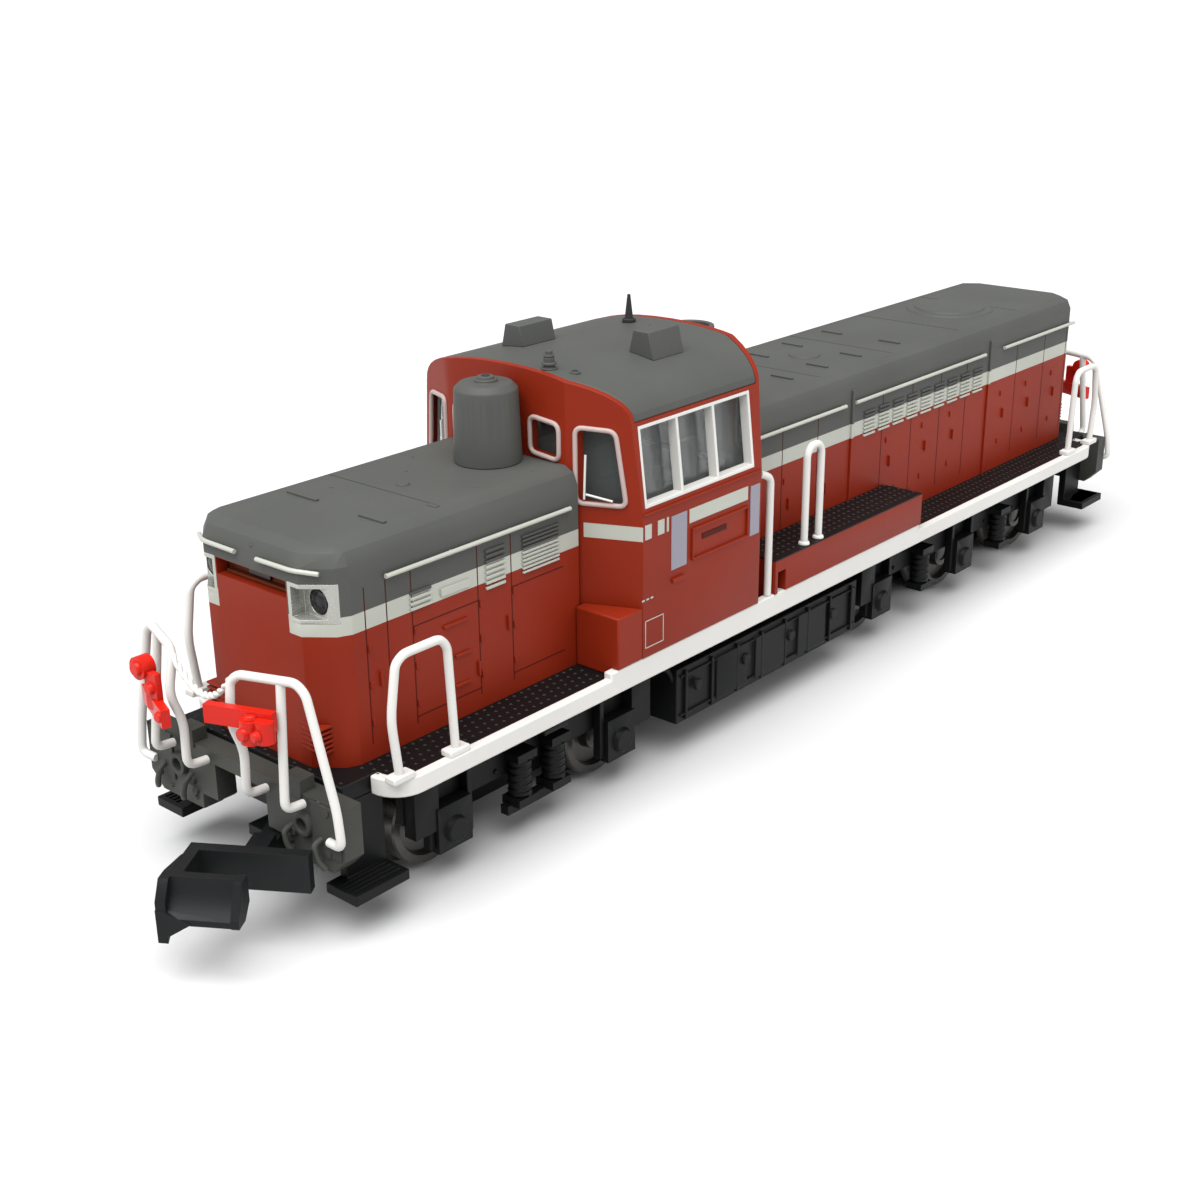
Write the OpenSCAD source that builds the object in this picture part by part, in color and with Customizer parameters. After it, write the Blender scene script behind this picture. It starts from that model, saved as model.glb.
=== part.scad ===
// Model diesel locomotive, 1:150 centre-cab shunter for 9 mm track.
// Origin: middle of the loco on the surface its wheel flanges stand on.
// +X is one side, Y runs along the loco with the short hood towards -Y, +Z is up.

/* [Frame] */
// Length over the two end beams
frame_len = 89; // [88:0.5:92]
// Width over the white side sills
sill_w = 18.1; // [17.6:0.1:18.4]
// Height of the lower edge of the side sills
sill_z = 7.25; // [7.2:0.05:7.4]
// Height of the walkway deck
deck_z = 8.3; // [8.25:0.05:8.4]

/* [Hoods and cab] */
// Width of both hoods
hood_w = 11.4; // [11.2:0.1:11.8]
// Height of the hood roofs
hood_top = 20.65; // [20.4:0.05:21]
// Wall thickness of the moulded shells
wall = 0.7; // [0.6:0.05:0.75]
// Width of the cab at its floor
cab_w = 18.2; // [18.1:0.1:18.6]
// Height of the crown of the cab roof
cab_top = 26; // [25.8:0.1:26.4]
// Y of the flat middle of the cab's front wall
cab_front_y = -23; // [-23.4:0.1:-22.8]
// Y of the flat middle of the cab's rear wall
cab_rear_y = -6.8; // [-7:0.1:-6.6]

/* [Running gear] */
// Diameter of the wheel treads
wheel_d = 5.7; // [5.4:0.1:5.8]
// Height of the wheel flanges
flange = 0.4; // [0.35:0.05:0.5]
// Distance between the backs of a pair of wheels
back_to_back = 7.44; // [7.4:0.02:7.6]
// Y of the pivot of the two-axle bogie
front_bogie_y = -28.9; // [-29:0.1:-28.8]
// Y of the pivot of the three-axle bogie
rear_bogie_y = 20.9; // [20.8:0.1:21]
// Height of the motor shaft and worm shafts
shaft_z = 12.4; // [12.4:0.05:12.45]

/* [Couplers] */
// Angle that the couplers rest at
coupler_yaw = 32.6; // [-32.6:0.4:32.6]
// Distance from a coupler's pivot to the middle of the loco
coupler_y = 40.7; // [40.6:0.1:40.8]

/* [Hidden] */
$fn = 48;
eps = 0.02;

beam_y = frame_len / 2;
beam_t = 1.3;
half_sill = sill_w / 2;
half_cab = cab_w / 2;
half_hood = hood_w / 2;
sill_t = 0.6;
deck_t = 1;
step_up = 0.5;
step_y = [-24, 11.3];
opening_half = 5.3;
opening_y = 39.2;

cab_side_y = [-21.1, -9.2];
cab_crease = 4.8;
waist_z = 18;
eave_z = 23.4;
eave_half = 8.45;
window_z = [18.25, 23.15];
window_y = [-20.85, -9.95];

front_hood_y = -42.6;
rear_hood_y = 42.6;
lamp_x = 4.35;
lamp_z = 17.65;

axle_z = flange + wheel_d / 2;
axle_r = 0.75;
run_gap = 0.05;
front_half_base = 7.2;
rear_half_base = 12.4;
front_core_half = front_half_base + 2.4;
rear_core_half = rear_half_base + 2.4;
gear_m = 0.25;
spur_teeth = 18;
axle_teeth = 14;
worm_teeth = 20;
worm_m = 0.3;
drive_z = 8;
gear_x = [0.9, 2.3];
front_step = 4.56;
rear_step = 4.59;
turret_r = 4.1;
motor_y = -4;
motor_half = 7.4;
fly_r = 3.8;
fly_len = 4.2;
fly_gap = 1;
worm_half = 2.7;
rotor_r = 0.75;
bearing_r = 1.5;
chassis_half = 4.7;
chassis_low = 9.3;
chassis_top = 15.3;
chassis_ends = [-37.6, 37.6];
tank_y = [-16.9, 4];
tank_inner = 4.95;

// ---------- helpers ----------

module slab(x, y, z) {
    translate([x[0], y[0], z[0]]) cube([x[1] - x[0], y[1] - y[0], z[1] - z[0]]);
}

module both_sides() {
    children();
    mirror([1, 0, 0]) children();
}

module both_ends() {
    children();
    rotate([0, 0, 180]) children();
}

// A profile drawn in Y and Z, made solid from x0 to x1.
module along_x(x0, x1) {
    translate([x0, 0, 0]) rotate([90, 0, 90]) linear_extrude(x1 - x0) children();
}

// A profile drawn in X and Z, made solid from y0 to y1.
module along_y(y0, y1) {
    translate([0, y1, 0]) rotate([90, 0, 0]) linear_extrude(y1 - y0) children();
}

// A round wire of diameter d through a list of points.
module wire(points, d) {
    for (i = [0 : len(points) - 2])
        hull() {
            translate(points[i]) sphere(d = d, $fn = 8);
            translate(points[i + 1]) sphere(d = d, $fn = 8);
        }
}

function arc(cx, cy, r, a0, a1, n) =
    [for (i = [0 : n]) [cx + r * cos(a0 + (a1 - a0) * i / n), cy + r * sin(a0 + (a1 - a0) * i / n)]];

function mirrored_x(pts) = [for (i = [len(pts) - 1 : -1 : 0]) [-pts[i][0], pts[i][1]]];

// ---------- deck, sills and beams ----------

sill_r = 1.9;
sill_end_y = beam_y - 3.2;

module running_board() {
    neck = 6.9;
    corner_r = sill_r - sill_t;
    x = half_sill - sill_r;
    y = sill_end_y - sill_r;
    color("#1c1b1b")
    difference() {
        union() {
            translate([0, 0, deck_z - deck_t]) linear_extrude(deck_t)
                polygon(concat(arc(x, y, corner_r, 0, 90, 8), arc(-x, y, corner_r, 90, 180, 8),
                    arc(-x, -y, corner_r, 180, 270, 8), arc(x, -y, corner_r, 270, 360, 8)));
            slab([-neck, neck], [-beam_y + beam_t, beam_y - beam_t], [deck_z - deck_t, deck_z]);
        }
        slab([-opening_half, opening_half], [-opening_y, opening_y], [deck_z - 2, deck_z + 1]);
    }
}

module sill_outline() {
    flat_end = 7;
    x = half_sill - sill_r;
    y = sill_end_y - sill_r;
    outer = concat([[half_sill, 0]], arc(x, -y, sill_r, 0, -90, 8), [[flat_end, -sill_end_y]]);
    inner = concat([[flat_end, -sill_end_y + sill_t]],
        arc(x, -y, sill_r - sill_t, -90, 0, 8), [[half_sill - sill_t, 0]]);
    polygon(concat(outer, inner));
}

module side_sills() {
    color("#f2f1ee")
    both_sides() {
        difference() {
            union() {
                translate([0, 0, sill_z]) linear_extrude(deck_z + 0.05 - sill_z) sill_outline();
                translate([0, 0, sill_z]) linear_extrude(deck_z + 0.05 - sill_z)
                    mirror([0, 1, 0]) sill_outline();
            }
            slab([half_sill - sill_t - eps, half_sill - sill_t], [-35, 35], [sill_z, deck_z]);
        }
        slab([half_sill - sill_t, half_sill], step_y, [deck_z + 0.05, deck_z + step_up]);
    }
}

module end_beam() {
    half = 8.4;
    top = deck_z - 0.3;
    low = 4;
    swing_half = 3.6;
    swing_z = 4.95;
    mouth = 2.2;
    mouth_z = 7.2;
    socket_x = 5.4;
    socket_z = 6.3;
    difference() {
        union() {
            along_y(-beam_y, -beam_y + beam_t)
                difference() {
                    polygon([[-half, top], [-half, 5], [-half + 1, low], [half - 1, low],
                        [half, 5], [half, top]]);
                    translate([-swing_half, 0]) square([2 * swing_half, swing_z]);
                    translate([-mouth, 0]) square([2 * mouth, mouth_z]);
                }
            for (s = [-1, 1]) {
                translate([s * socket_x, -beam_y, socket_z]) rotate([90, 0, 0])
                    cylinder(r = 0.62, h = 0.3);
                for (p = [[4.1, 5], [7.3, 5.2], [7.3, 7.6]])
                    translate([s * p[0], -beam_y, p[1]]) rotate([90, 0, 0])
                        cylinder(r = 0.22, h = 0.2, $fn = 24);
            }
        }
        for (s = [-1, 1])
            translate([s * socket_x, -beam_y + beam_t + 1, socket_z]) rotate([90, 0, 0])
                cylinder(r = 0.38, h = beam_t + 3);
    }
}

module end_beam_front() {
    color("#6d6b68") end_beam();
}

module end_beam_rear() {
    color("#6d6b68") rotate([0, 0, 180]) end_beam();
}

module corner_steps() {
    plate_x = [6.3, 8.7];
    plate_y = [-beam_y + 0.3, -beam_y + 4.1];
    plate_z = [2.3, 2.9];
    web_t = 0.6;
    color("#161616")
    both_ends() both_sides() {
        difference() {
            slab(plate_x, plate_y, plate_z);
            for (x = [7.15 : 0.35 : 8.4])
                slab([x, x + 0.15], [plate_y[0] + 0.3, plate_y[1] - 0.3],
                    [plate_z[1] - 0.15, plate_z[1] + 1]);
        }
        slab([plate_x[0], plate_x[0] + web_t], [-beam_y + beam_t, plate_y[1]], [plate_z[1], deck_z - deck_t]);
    }
}

// ---------- body shells ----------

module half_outline_mirror(pts) {
    polygon(concat(pts, mirrored_x(pts)));
}

// Plan of a hood from its cab end to its lamp end, shrunk by inset.
function hood_plan(end_y, cab_y, inset) = [
    [half_hood - inset, cab_y + (half_hood - cab_crease) * 0.4],
    [half_hood - inset, end_y + 1.9],
    [half_hood - 0.35 - inset * 0.8, end_y + 1.15 + inset * 0.6],
    [3.9 - inset * 0.4, end_y + inset]];

module hood_solid(end_y, cab_y, inset, z0, z1) {
    shoulder = 1.1;
    hull() {
        for (layer = [[z0, 0], [z1 - shoulder, 0], [z1 - shoulder * 0.35, 0.35], [z1 - 0.05, 1.1]])
            translate([0, 0, layer[0]]) linear_extrude(0.05)
                half_outline_mirror([for (p = hood_plan(end_y, cab_y, inset + layer[1] * 0.9))
                    [p[0], min(p[1], cab_y)]]);
    }
}

module lamp_window(end_y) {
    slab([3, 5.45], [end_y - 1, end_y + 1.6], [16.55, 18.75]);
}

module hood_shell(end_y, cab_y) {
    difference() {
        hood_solid(end_y, cab_y, 0, deck_z, hood_top);
        hood_solid(end_y + 0.05, cab_y + 2, wall, deck_z - 1, hood_top - wall);
        both_sides() lamp_window(end_y);
        slab([-2.9, 2.9], [end_y - 1, end_y + 1], [17.75, 18.7]);
    }
}

module short_hood_shell() {
    color("#b23a24") hood_shell(front_hood_y, cab_front_y);
}

module long_hood_shell() {
    color("#b23a24") rotate([0, 0, 180]) hood_shell(-rear_hood_y, -cab_rear_y);
}

// Plan of the cab, with every wall moved inwards by t.
module cab_plan(t) {
    half_outline_mirror([[cab_crease - t * 0.25, cab_rear_y - t], [half_cab - t, cab_side_y[1] - t * 0.25],
        [half_cab - t, cab_side_y[0] + t * 0.25], [cab_crease - t * 0.25, cab_front_y + t]]);
}

// Y of the slanted front and rear corners of the cab at a given X.
function front_facet(x) = cab_side_y[0]
    + (cab_front_y - cab_side_y[0]) * (half_cab - x) / (half_cab - cab_crease);
function rear_facet(x) = cab_side_y[1]
    + (cab_rear_y - cab_side_y[1]) * (half_cab - x) / (half_cab - cab_crease);

function roof_curve(half, base, top, n) =
    [for (i = [0 : n]) let (a = 180 * i / n)
        [half * sign(cos(a)) * pow(abs(cos(a)), 0.91), base + (top - base) * pow(abs(sin(a)), 0.91)]];

module cab_section(t) {
    polygon(concat([[-half_cab + t, deck_z], [half_cab - t, deck_z], [half_cab - t, waist_z]],
        roof_curve(eave_half - t, eave_z, cab_top - t, 20), [[-half_cab + t, waist_z]]));
}

module cab_block(t) {
    intersection() {
        translate([0, 0, deck_z]) linear_extrude(20) cab_plan(t);
        along_y(-30, 0) cab_section(t);
    }
}

roof_inset = 0.45;

module end_windows() {
    both_sides() {
        along_y(-1, 3) polygon([[2, 21], [4.3, 20.8], [4.3, 23], [2, 23.2]]);
        along_y(-1, 3) polygon([[5.35, 18.4], [8.2, 18.4], [7.6, 22.9], [5.35, 23]]);
    }
}

module cab_shell() {
    color("#b23a24")
    difference() {
        cab_block(0);
        translate([0, 0, -1]) cab_block(wall);
        translate([0, 0, 1]) intersection() {
            cab_block(wall);
            slab([-10, 10], [-30, 0], [deck_z, eave_z]);
        }
        intersection() {
            translate([0, 0, eave_z]) linear_extrude(5) cab_plan(roof_inset);
            slab([-10, 10], [-30, 0], [eave_z, 30]);
        }
        slab([-10, 10], window_y, window_z);
        translate([0, cab_front_y, 0]) end_windows();
        translate([0, cab_rear_y, 0]) rotate([0, 0, 180]) end_windows();
        both_sides() slab([half_sill - sill_t - eps, 10], [-30, 0], [deck_z - 1, deck_z + step_up]);
        slab([-half_hood + wall, half_hood - wall], [-30, 0], [deck_z - 1, 17.5]);
    }
}

module cab_roof_solid() {
    intersection() {
        translate([0, 0, eave_z]) linear_extrude(5) cab_plan(roof_inset);
        along_y(-30, 0) cab_section(0);
    }
}

module roof_void() {
    intersection() {
        translate([0, 0, eave_z - 1]) linear_extrude(5) cab_plan(wall + 0.6);
        along_y(-30, 0) cab_section(0.8);
    }
}

module cab_roof() {
    color("#6b6d69")
    difference() {
        cab_roof_solid();
        roof_void();
    }
}

module cab_glazing() {
    t = 0.4;
    color("#b9c2c4", 0.5)
    difference() {
        intersection() {
            cab_block(wall);
            slab([-10, 10], [-30, 0], [17.8, 23.3]);
        }
        cab_block(wall + t);
    }
}

module side_window_frames() {
    bar = 0.22;
    panes = [-20.85, -17.35, -13.8, -9.95];
    color("#efede8")
    intersection() {
        difference() {
            cab_block(0);
            cab_block(wall);
        }
        difference() {
            slab([-10, 10], window_y, window_z);
            for (i = [0 : 2])
                slab([-11, 11], [panes[i] + bar, panes[i + 1] - (i == 2 ? bar : 0)],
                    [window_z[0] + bar, window_z[1] - bar]);
        }
    }
}

// ---------- boxes beside the hoods ----------

side_box_x = [half_hood + 0.05, half_cab];
equipment_y = [-23.4, -6.4];
equipment_top = 12.1;
walkway_top = 11.2;
walkway_front = -7.3;
walkway_end = 11.4;

// The notch that lets a box sit over the raised edge of the side sill.
module over_sill() {
    slab([half_sill - sill_t - eps, 10], [-30, 20], [deck_z - 1, deck_z + step_up]);
}

module equipment_boxes() {
    color("#b23a24") {
        difference() {
            translate([0, 0, deck_z]) linear_extrude(equipment_top - deck_z)
                polygon([[side_box_x[0], equipment_y[0]], [side_box_x[1], equipment_y[0]],
                    [side_box_x[1], front_facet(side_box_x[1]) - eps],
                    [side_box_x[0], front_facet(side_box_x[0]) - eps]]);
            over_sill();
        }
        mirror([1, 0, 0]) difference() {
            translate([0, 0, deck_z]) linear_extrude(equipment_top - deck_z)
                polygon([[side_box_x[0], equipment_y[1]], [side_box_x[1], equipment_y[1]],
                    [side_box_x[1], rear_facet(side_box_x[1]) + eps],
                    [side_box_x[0], rear_facet(side_box_x[0]) + eps]]);
            over_sill();
        }
    }
}

module walkway_box(front_y) {
    difference() {
        slab(side_box_x, [front_y, walkway_end], [deck_z, walkway_top]);
        slab([side_box_x[0] + wall, side_box_x[1] - wall], [front_y + wall, walkway_end - wall],
            [deck_z - 1, walkway_top - wall]);
        over_sill();
        slab([half_cab - 1, half_cab + 1], [-7, -6.1], [deck_z + step_up, 10.3]);
    }
}

module walkway_boxes() {
    color("#b23a24") {
        walkway_box(walkway_front);
        mirror([1, 0, 0]) walkway_box(equipment_y[1] + 0.1);
    }
}

// ---------- roof parts ----------

stack_x = 0.5;
stack_y = cab_front_y - 2.1;

module steam_stack() {
    base_r = 2.05;
    top_r = 1.9;
    h = 4.75;
    chamfer = 0.35;
    color("#6b6d69")
    intersection() {
        translate([stack_x, stack_y, hood_top]) {
            cylinder(r1 = base_r, r2 = top_r, h = h - chamfer);
            translate([0, 0, h - chamfer]) cylinder(r1 = top_r, r2 = top_r - chamfer, h = chamfer);
            translate([0, 0, h]) cylinder(r = 0.7, h = 0.2);
        }
        slab([-6, 6], [-32, cab_front_y - 0.05], [hood_top, 30]);
    }
}

module engine_exhaust() {
    color("#4a4a48")
    translate([0, cab_rear_y + 1.8, hood_top])
        difference() {
            cylinder(r = 1.6, h = 4.65);
            translate([0, 0, 2.4]) cylinder(r = 1.25, h = 4);
        }
}

vents = [[-3.1, -17.5], [4.3, -14]];

module roof_vents() {
    half_len = 1.5;
    color("#6b6d69")
    for (v = vents)
        difference() {
            translate([v[0], v[1], 0])
                along_y(-half_len, half_len)
                    polygon([[-1.2, 24.6], [1.2, 24.6], [0.6, 27.2], [-0.6, 27.2]]);
            roof_void();
            cab_roof_solid();
        }
}

module whistle() {
    color("#6b6d69")
    difference() {
        translate([2.7, cab_front_y + 1, 25]) {
            cylinder(r = 0.5, h = 1);
            cylinder(r = 0.33, h = 1.6);
            cylinder(r = 0.22, h = 2);
        }
        cab_roof_solid();
    }
}

module antenna() {
    color("#4a4a48")
    difference() {
        translate([-1.7, cab_rear_y - 2.6, cab_top - 0.3]) {
            cylinder(r = 0.45, h = 0.5);
            cylinder(r1 = 0.34, r2 = 0.1, h = 2.1);
        }
        cab_roof_solid();
    }
}

// ---------- lamps and light parts ----------

module bezel_pair(end_y) {
    both_sides()
        difference() {
            intersection() {
                hood_solid(end_y, -20, 0, deck_z, hood_top);
                lamp_window(end_y);
            }
            slab([3.25, 5.2], [end_y - 2, end_y + 0.9], [16.8, 18.5]);
            translate([lamp_x, end_y + 3, lamp_z]) rotate([90, 0, 0]) cylinder(r = 0.72, h = 4);
        }
}

module headlight_bezels() {
    color("#c9c7c2") {
        bezel_pair(front_hood_y);
        rotate([0, 0, 180]) bezel_pair(-rear_hood_y);
    }
}

guide_y = 2.4;

module light_guides() {
    color("#d8d2c0", 0.6)
    both_ends() {
        for (s = [-1, 1])
            translate([s * lamp_x, front_hood_y + guide_y, lamp_z]) rotate([90, 0, 0])
                cylinder(r = 0.5, h = 1.1);
        slab([-4.9, 4.9], [front_hood_y + guide_y, front_hood_y + guide_y + 0.9],
            [lamp_z - 0.6, lamp_z + 0.6]);
        slab([-2.8, 2.8], [front_hood_y + 1.1, front_hood_y + 1.8], [17.8, 18.65]);
        slab([-0.4, 0.4], [front_hood_y + 1.8, front_hood_y + guide_y], [17.85, 18.2]);
    }
}

module light_boards() {
    color("#2f6b3a")
    both_ends() {
        slab([-4.2, 4.2], [front_hood_y + 3.6, -30], [chassis_top, chassis_top + 0.6]);
        slab([-0.8, 0.8], [front_hood_y + 3.7, front_hood_y + 4.7], [chassis_top + 0.6, chassis_top + 2.6]);
        slab([1.4, 2.6], [-37, -36], [chassis_top + 0.6, chassis_top + 1]);
    }
}

// ---------- rails, chains and levers ----------

rail_d = 0.5;
chain_d = 0.36;

// The pair of forward-leaning rails on an end beam, with the chain slung between them.
module end_rail_set() {
    b = -beam_y;
    foot = b - rail_d / 2;
    for (s = [-1, 1]) {
        wire([[s * 2.57, foot, 7.5], [s * 2.57, b - 1.5, 7.6], [s * 2.6, b - 1.4, 10.2],
            [s * 2.6, b - 2.1, 12.1], [s * 2.45, b - 1.75, 14.2], [s * 2.9, b - 1.55, 14.65],
            [s * 6.1, b - 0.45, 14.7], [s * 6.7, b - 0.35, 14.2], [s * 8.4, b - 0.3, 8.1],
            [s * 8.65, b - 0.35, 6.1], [s * 7.5, foot, 6]], rail_d);
        wire([[s * 5.2, b - 0.7, 14.6], [s * 5.6, b - 1.4, 7.7], [s * 5.6, foot, 7.6]], rail_d);
    }
    wire([for (i = [0 : 6]) let (t = i / 3 - 1) [t * 2.45, b - 1.75, 12.75 + 1.6 * t * t]], chain_d);
}

module end_rails_front() {
    color("#f2f1ee") end_rail_set();
}

module end_rails_rear() {
    color("#f2f1ee") rotate([0, 0, 180]) end_rail_set();
}

module corner_rail() {
    x = half_sill - 0.45;
    foot_z = deck_z + 0.05;
    z = foot_z + rail_d / 2;
    wire([[x, -40.6, z], [x, -41, 11.9], [x, -40.5, 14.9], [x, -39.9, 15.3], [x, -37.3, 15.3],
        [x, -36.8, 14.7], [x, -36.5, z]], rail_d);
    for (y = [-40.6, -36.5])
        slab([x - 0.4, x + 0.4], [y - 0.8, y + 0.8], [foot_z, foot_z + 0.25]);
}

module walkway_rails() {
    x = half_cab - 0.45;
    door_x = half_cab - 0.35;
    sill_top = deck_z + step_up + rail_d / 2;
    box_top = walkway_top + rail_d / 2;
    color("#f2f1ee") {
        both_ends() both_sides() corner_rail();
        wire([[-x, -23.9, sill_top], [-x, -23.4, 17.1], [-x, -22.9, 17.5]], rail_d);
        wire([[door_x, -7.7, sill_top], [door_x, -7.7, 17], [door_x - 0.15, -8.6, 17.4]], rail_d);
        both_sides() wire([[x, -3.4, box_top], [x, -3.4, 17.5], [x, -3, 18], [x, -2.1, 18],
            [x, -1.7, 17.5], [x, -1.7, box_top]], rail_d);
    }
}

// A lever plate across the two legs of an end rail, in front of them.
module lever_plate(side, z) {
    translate([side * 2.5, -beam_y - 2.45, z]) rotate([0, 0, side * 21])
        slab(side > 0 ? [-0.8, 3.2] : [-3.2, 0.8], [-0.5, 0], [0, 1.05]);
}

module uncoupling_levers() {
    lamp_y = -beam_y - 2.2;
    color("#d8301c")
    both_ends() {
        lever_plate(1, 12.25);
        translate([4.5, lamp_y, 11.6]) cylinder(r = 0.6, h = 1.3);
        translate([5.4, lamp_y + 0.15, 11.8]) cylinder(r = 0.5, h = 1.2);
        lever_plate(-1, 10.65);
        slab([-4.1, -3.1], [lamp_y - 0.35, lamp_y + 0.05], [11, 13.2]);
        translate([-4.4, lamp_y + 0.25, 13.3]) rotate([90, 0, 0]) cylinder(r = 0.65, h = 0.8);
    }
}

// ---------- inside the body ----------

module cab_interior() {
    floor_z = [17, 17.5];
    color("#7d8f86") {
        slab([-7.9, 7.9], [-20.4, -9.9], floor_z);
        slab([-5, 5], [-22, -8.4], floor_z);
        slab([-1.4, 1.4], [-17.4, -12.8], [floor_z[1], 19.6]);
        for (s = [-1, 1]) {
            slab([s * 5 - 1, s * 5 + 1], [-15 + s * 2 - 1, -15 + s * 2 + 1], [floor_z[1], 18.4]);
            slab([s * 5.85 - 0.25, s * 5.85 + 0.25], [-15 + s * 2 - 1, -15 + s * 2 + 1], [18.4, 20.2]);
        }
    }
}

module underframe_tanks() {
    color("#1a1a1a")
    both_sides() {
        slab([tank_inner, 8.4], tank_y, [2.6, 6.4]);
        slab([tank_inner, 7.2], [tank_y[0] + 0.3, tank_y[1] - 0.3], [6.4, deck_z - deck_t]);
        for (y = [-12.9, -8.6, -3.6])
            slab([8.4, 8.6], [y, y + 3.4], [3, 6]);
        translate([7, tank_y[1] + 0.4, 5]) rotate([90, 0, 0]) cylinder(r = 0.5, h = 0.6);
    }
}

module bogie_pocket(y) {
    translate([0, y, chassis_low - 3]) cylinder(r = turret_r + run_gap, h = 4.4);
    slab([-1.95, 1.95], [y - worm_half - 0.5, y + worm_half + 0.5], [chassis_low, shaft_z + 2]);
}

module along_shaft(y0, y1, r) {
    translate([0, y1, shaft_z]) rotate([90, 0, 0]) cylinder(r = r, h = y1 - y0);
}

bearing_len = 1.6;
front_bearings = [front_bogie_y - worm_half - 2.3, front_bogie_y + worm_half + 0.7];
rear_bearings = [rear_bogie_y - worm_half - 2.3, rear_bogie_y + worm_half + 0.7];
motor_bearings = [motor_y - motor_half - 0.6, motor_y + motor_half - 0.8];
motor_bearing_len = 1.4;
motor_bearing_r = 1.6;
screw_places = [[-36.2, 13.6], [31.2, 13.6], [3, 5], [-16, 5]];

module chassis_block() {
    difference() {
        union() {
            slab([0, chassis_half], chassis_ends, [chassis_low, chassis_top]);
            slab([0, tank_inner - 0.05], tank_y, [3, chassis_low]);
        }
        bogie_pocket(front_bogie_y);
        bogie_pocket(rear_bogie_y);
        slab([-1, 6], [motor_y - motor_half, motor_y + motor_half], [shaft_z - 4.3, 20]);
        along_shaft(motor_y - motor_half - fly_gap - fly_len - 1.2, motor_y, fly_r + 0.3);
        along_shaft(motor_y, motor_y + motor_half + fly_gap + fly_len + 1.2, fly_r + 0.3);
        along_shaft(front_bearings[0] - 0.8, motor_y, 1.1);
        along_shaft(motor_y, rear_bearings[1] + bearing_len + 0.8, 1.1);
        for (y = concat(front_bearings, rear_bearings)) along_shaft(y, y + bearing_len, bearing_r);
        for (p = screw_places)
            translate([-1, p[0], p[1]]) rotate([0, 90, 0]) cylinder(r = 0.55, h = 7);
    }
}

module chassis_right() {
    color("#8b8c8d")
    difference() {
        translate([0.05, 0, 0]) chassis_block();
        for (p = screw_places)
            translate([chassis_half - 0.75, p[0], p[1]]) rotate([0, 90, 0]) cylinder(r = 1.05, h = 3);
    }
}

module chassis_left() {
    color("#8b8c8d") mirror([1, 0, 0]) translate([0.05, 0, 0]) chassis_block();
}

module chassis_screws() {
    color("#b8b8b4")
    for (p = screw_places)
        translate([-4, p[0], p[1]]) rotate([0, 90, 0]) {
            cylinder(r = 0.5, h = 8);
            translate([0, 0, 7.95])
                difference() {
                    cylinder(r = 1, h = 0.6);
                    translate([-1.2, -0.15, 0.35]) cube([2.4, 0.3, 1]);
                }
        }
}

module motor_can() {
    half_x = 4.2;
    color("#a9acae")
    difference() {
        slab([-half_x, half_x], [motor_y - motor_half, motor_y + motor_half], [shaft_z - 4.3, shaft_z + 4.3]);
        along_shaft(motor_y - motor_half + 0.8, motor_y + motor_half - 0.8, 3.7);
        along_shaft(motor_y - 10, motor_y + 10, motor_bearing_r);
    }
}

module ring(y, length, r_out) {
    difference() {
        along_shaft(y, y + length, r_out);
        along_shaft(y - 1, y + length + 1, rotor_r + run_gap);
    }
}

module shaft_bearings() {
    color("#c79a45") {
        for (y = concat(front_bearings, rear_bearings)) ring(y, bearing_len, bearing_r);
        for (y = motor_bearings) ring(y, motor_bearing_len, motor_bearing_r);
    }
}

rotor_ends = [motor_y - motor_half - fly_gap - fly_len + 0.9, motor_y + motor_half + fly_gap + fly_len - 0.9];

module motor_rotor() {
    color("#b07a3c") {
        along_shaft(rotor_ends[0], rotor_ends[1], rotor_r);
        difference() {
            along_shaft(motor_y - 3.6, motor_y + 3.4, 3.2);
            for (a = [0 : 72 : 359])
                translate([0, 0, shaft_z]) rotate([0, a, 0])
                    slab([-0.25, 0.25], [motor_y - 5, motor_y + 5], [2, 4]);
        }
        along_shaft(motor_y + 3.4, motor_y + 5.4, 1.35);
    }
}

// A flywheel with a driving slot across the face that the worm shaft's blade sits in.
module flywheel(y0, y1, slot_y) {
    difference() {
        along_shaft(y0, y1, fly_r);
        along_shaft(y0 - 1, y1 + 1, rotor_r);
        translate([0, slot_y, shaft_z]) slab([-1.4, 1.4], [-0.9, 0.9], [-0.6, 0.6]);
    }
}

module flywheels() {
    y_front = motor_y - motor_half - fly_gap;
    y_rear = motor_y + motor_half + fly_gap;
    color("#c0a060") {
        flywheel(y_front - fly_len, y_front, y_front - fly_len);
        flywheel(y_rear, y_rear + fly_len, y_rear + fly_len);
    }
}

module worm(hand) {
    lead = PI * worm_m;
    offset_r = 0.2;
    rotate([-90, 0, 0]) translate([0, 0, -worm_half])
        rotate([0, 0, hand * 360 * -worm_half / lead - 90])
            linear_extrude(2 * worm_half, twist = -hand * 360 * 2 * worm_half / lead, slices = 46)
                translate([offset_r, 0]) circle(r = 1.28, $fn = 18);
}

module worm_shaft(bogie_y, bearings, toward, hand) {
    y_far = toward > 0 ? bearings[0] - 0.4 : bearings[1] + bearing_len + 0.4;
    y_near = toward > 0 ? rotor_ends[0] - 1.5 : rotor_ends[1] + 1.5;
    along_shaft(min(y_far, y_near), max(y_far, y_near), rotor_r);
    translate([0, bogie_y, shaft_z]) worm(hand);
    translate([0, y_near, shaft_z])
        slab([-1.2, 1.2], toward > 0 ? [-0.3, 0.8] : [-0.8, 0.3], [-0.4, 0.4]);
}

module worm_shaft_front() {
    color("#c79a45") worm_shaft(front_bogie_y, front_bearings, 1, 1);
}

module worm_shaft_rear() {
    color("#c79a45") worm_shaft(rear_bogie_y, rear_bearings, -1, -1);
}

// ---------- gears ----------

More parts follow.
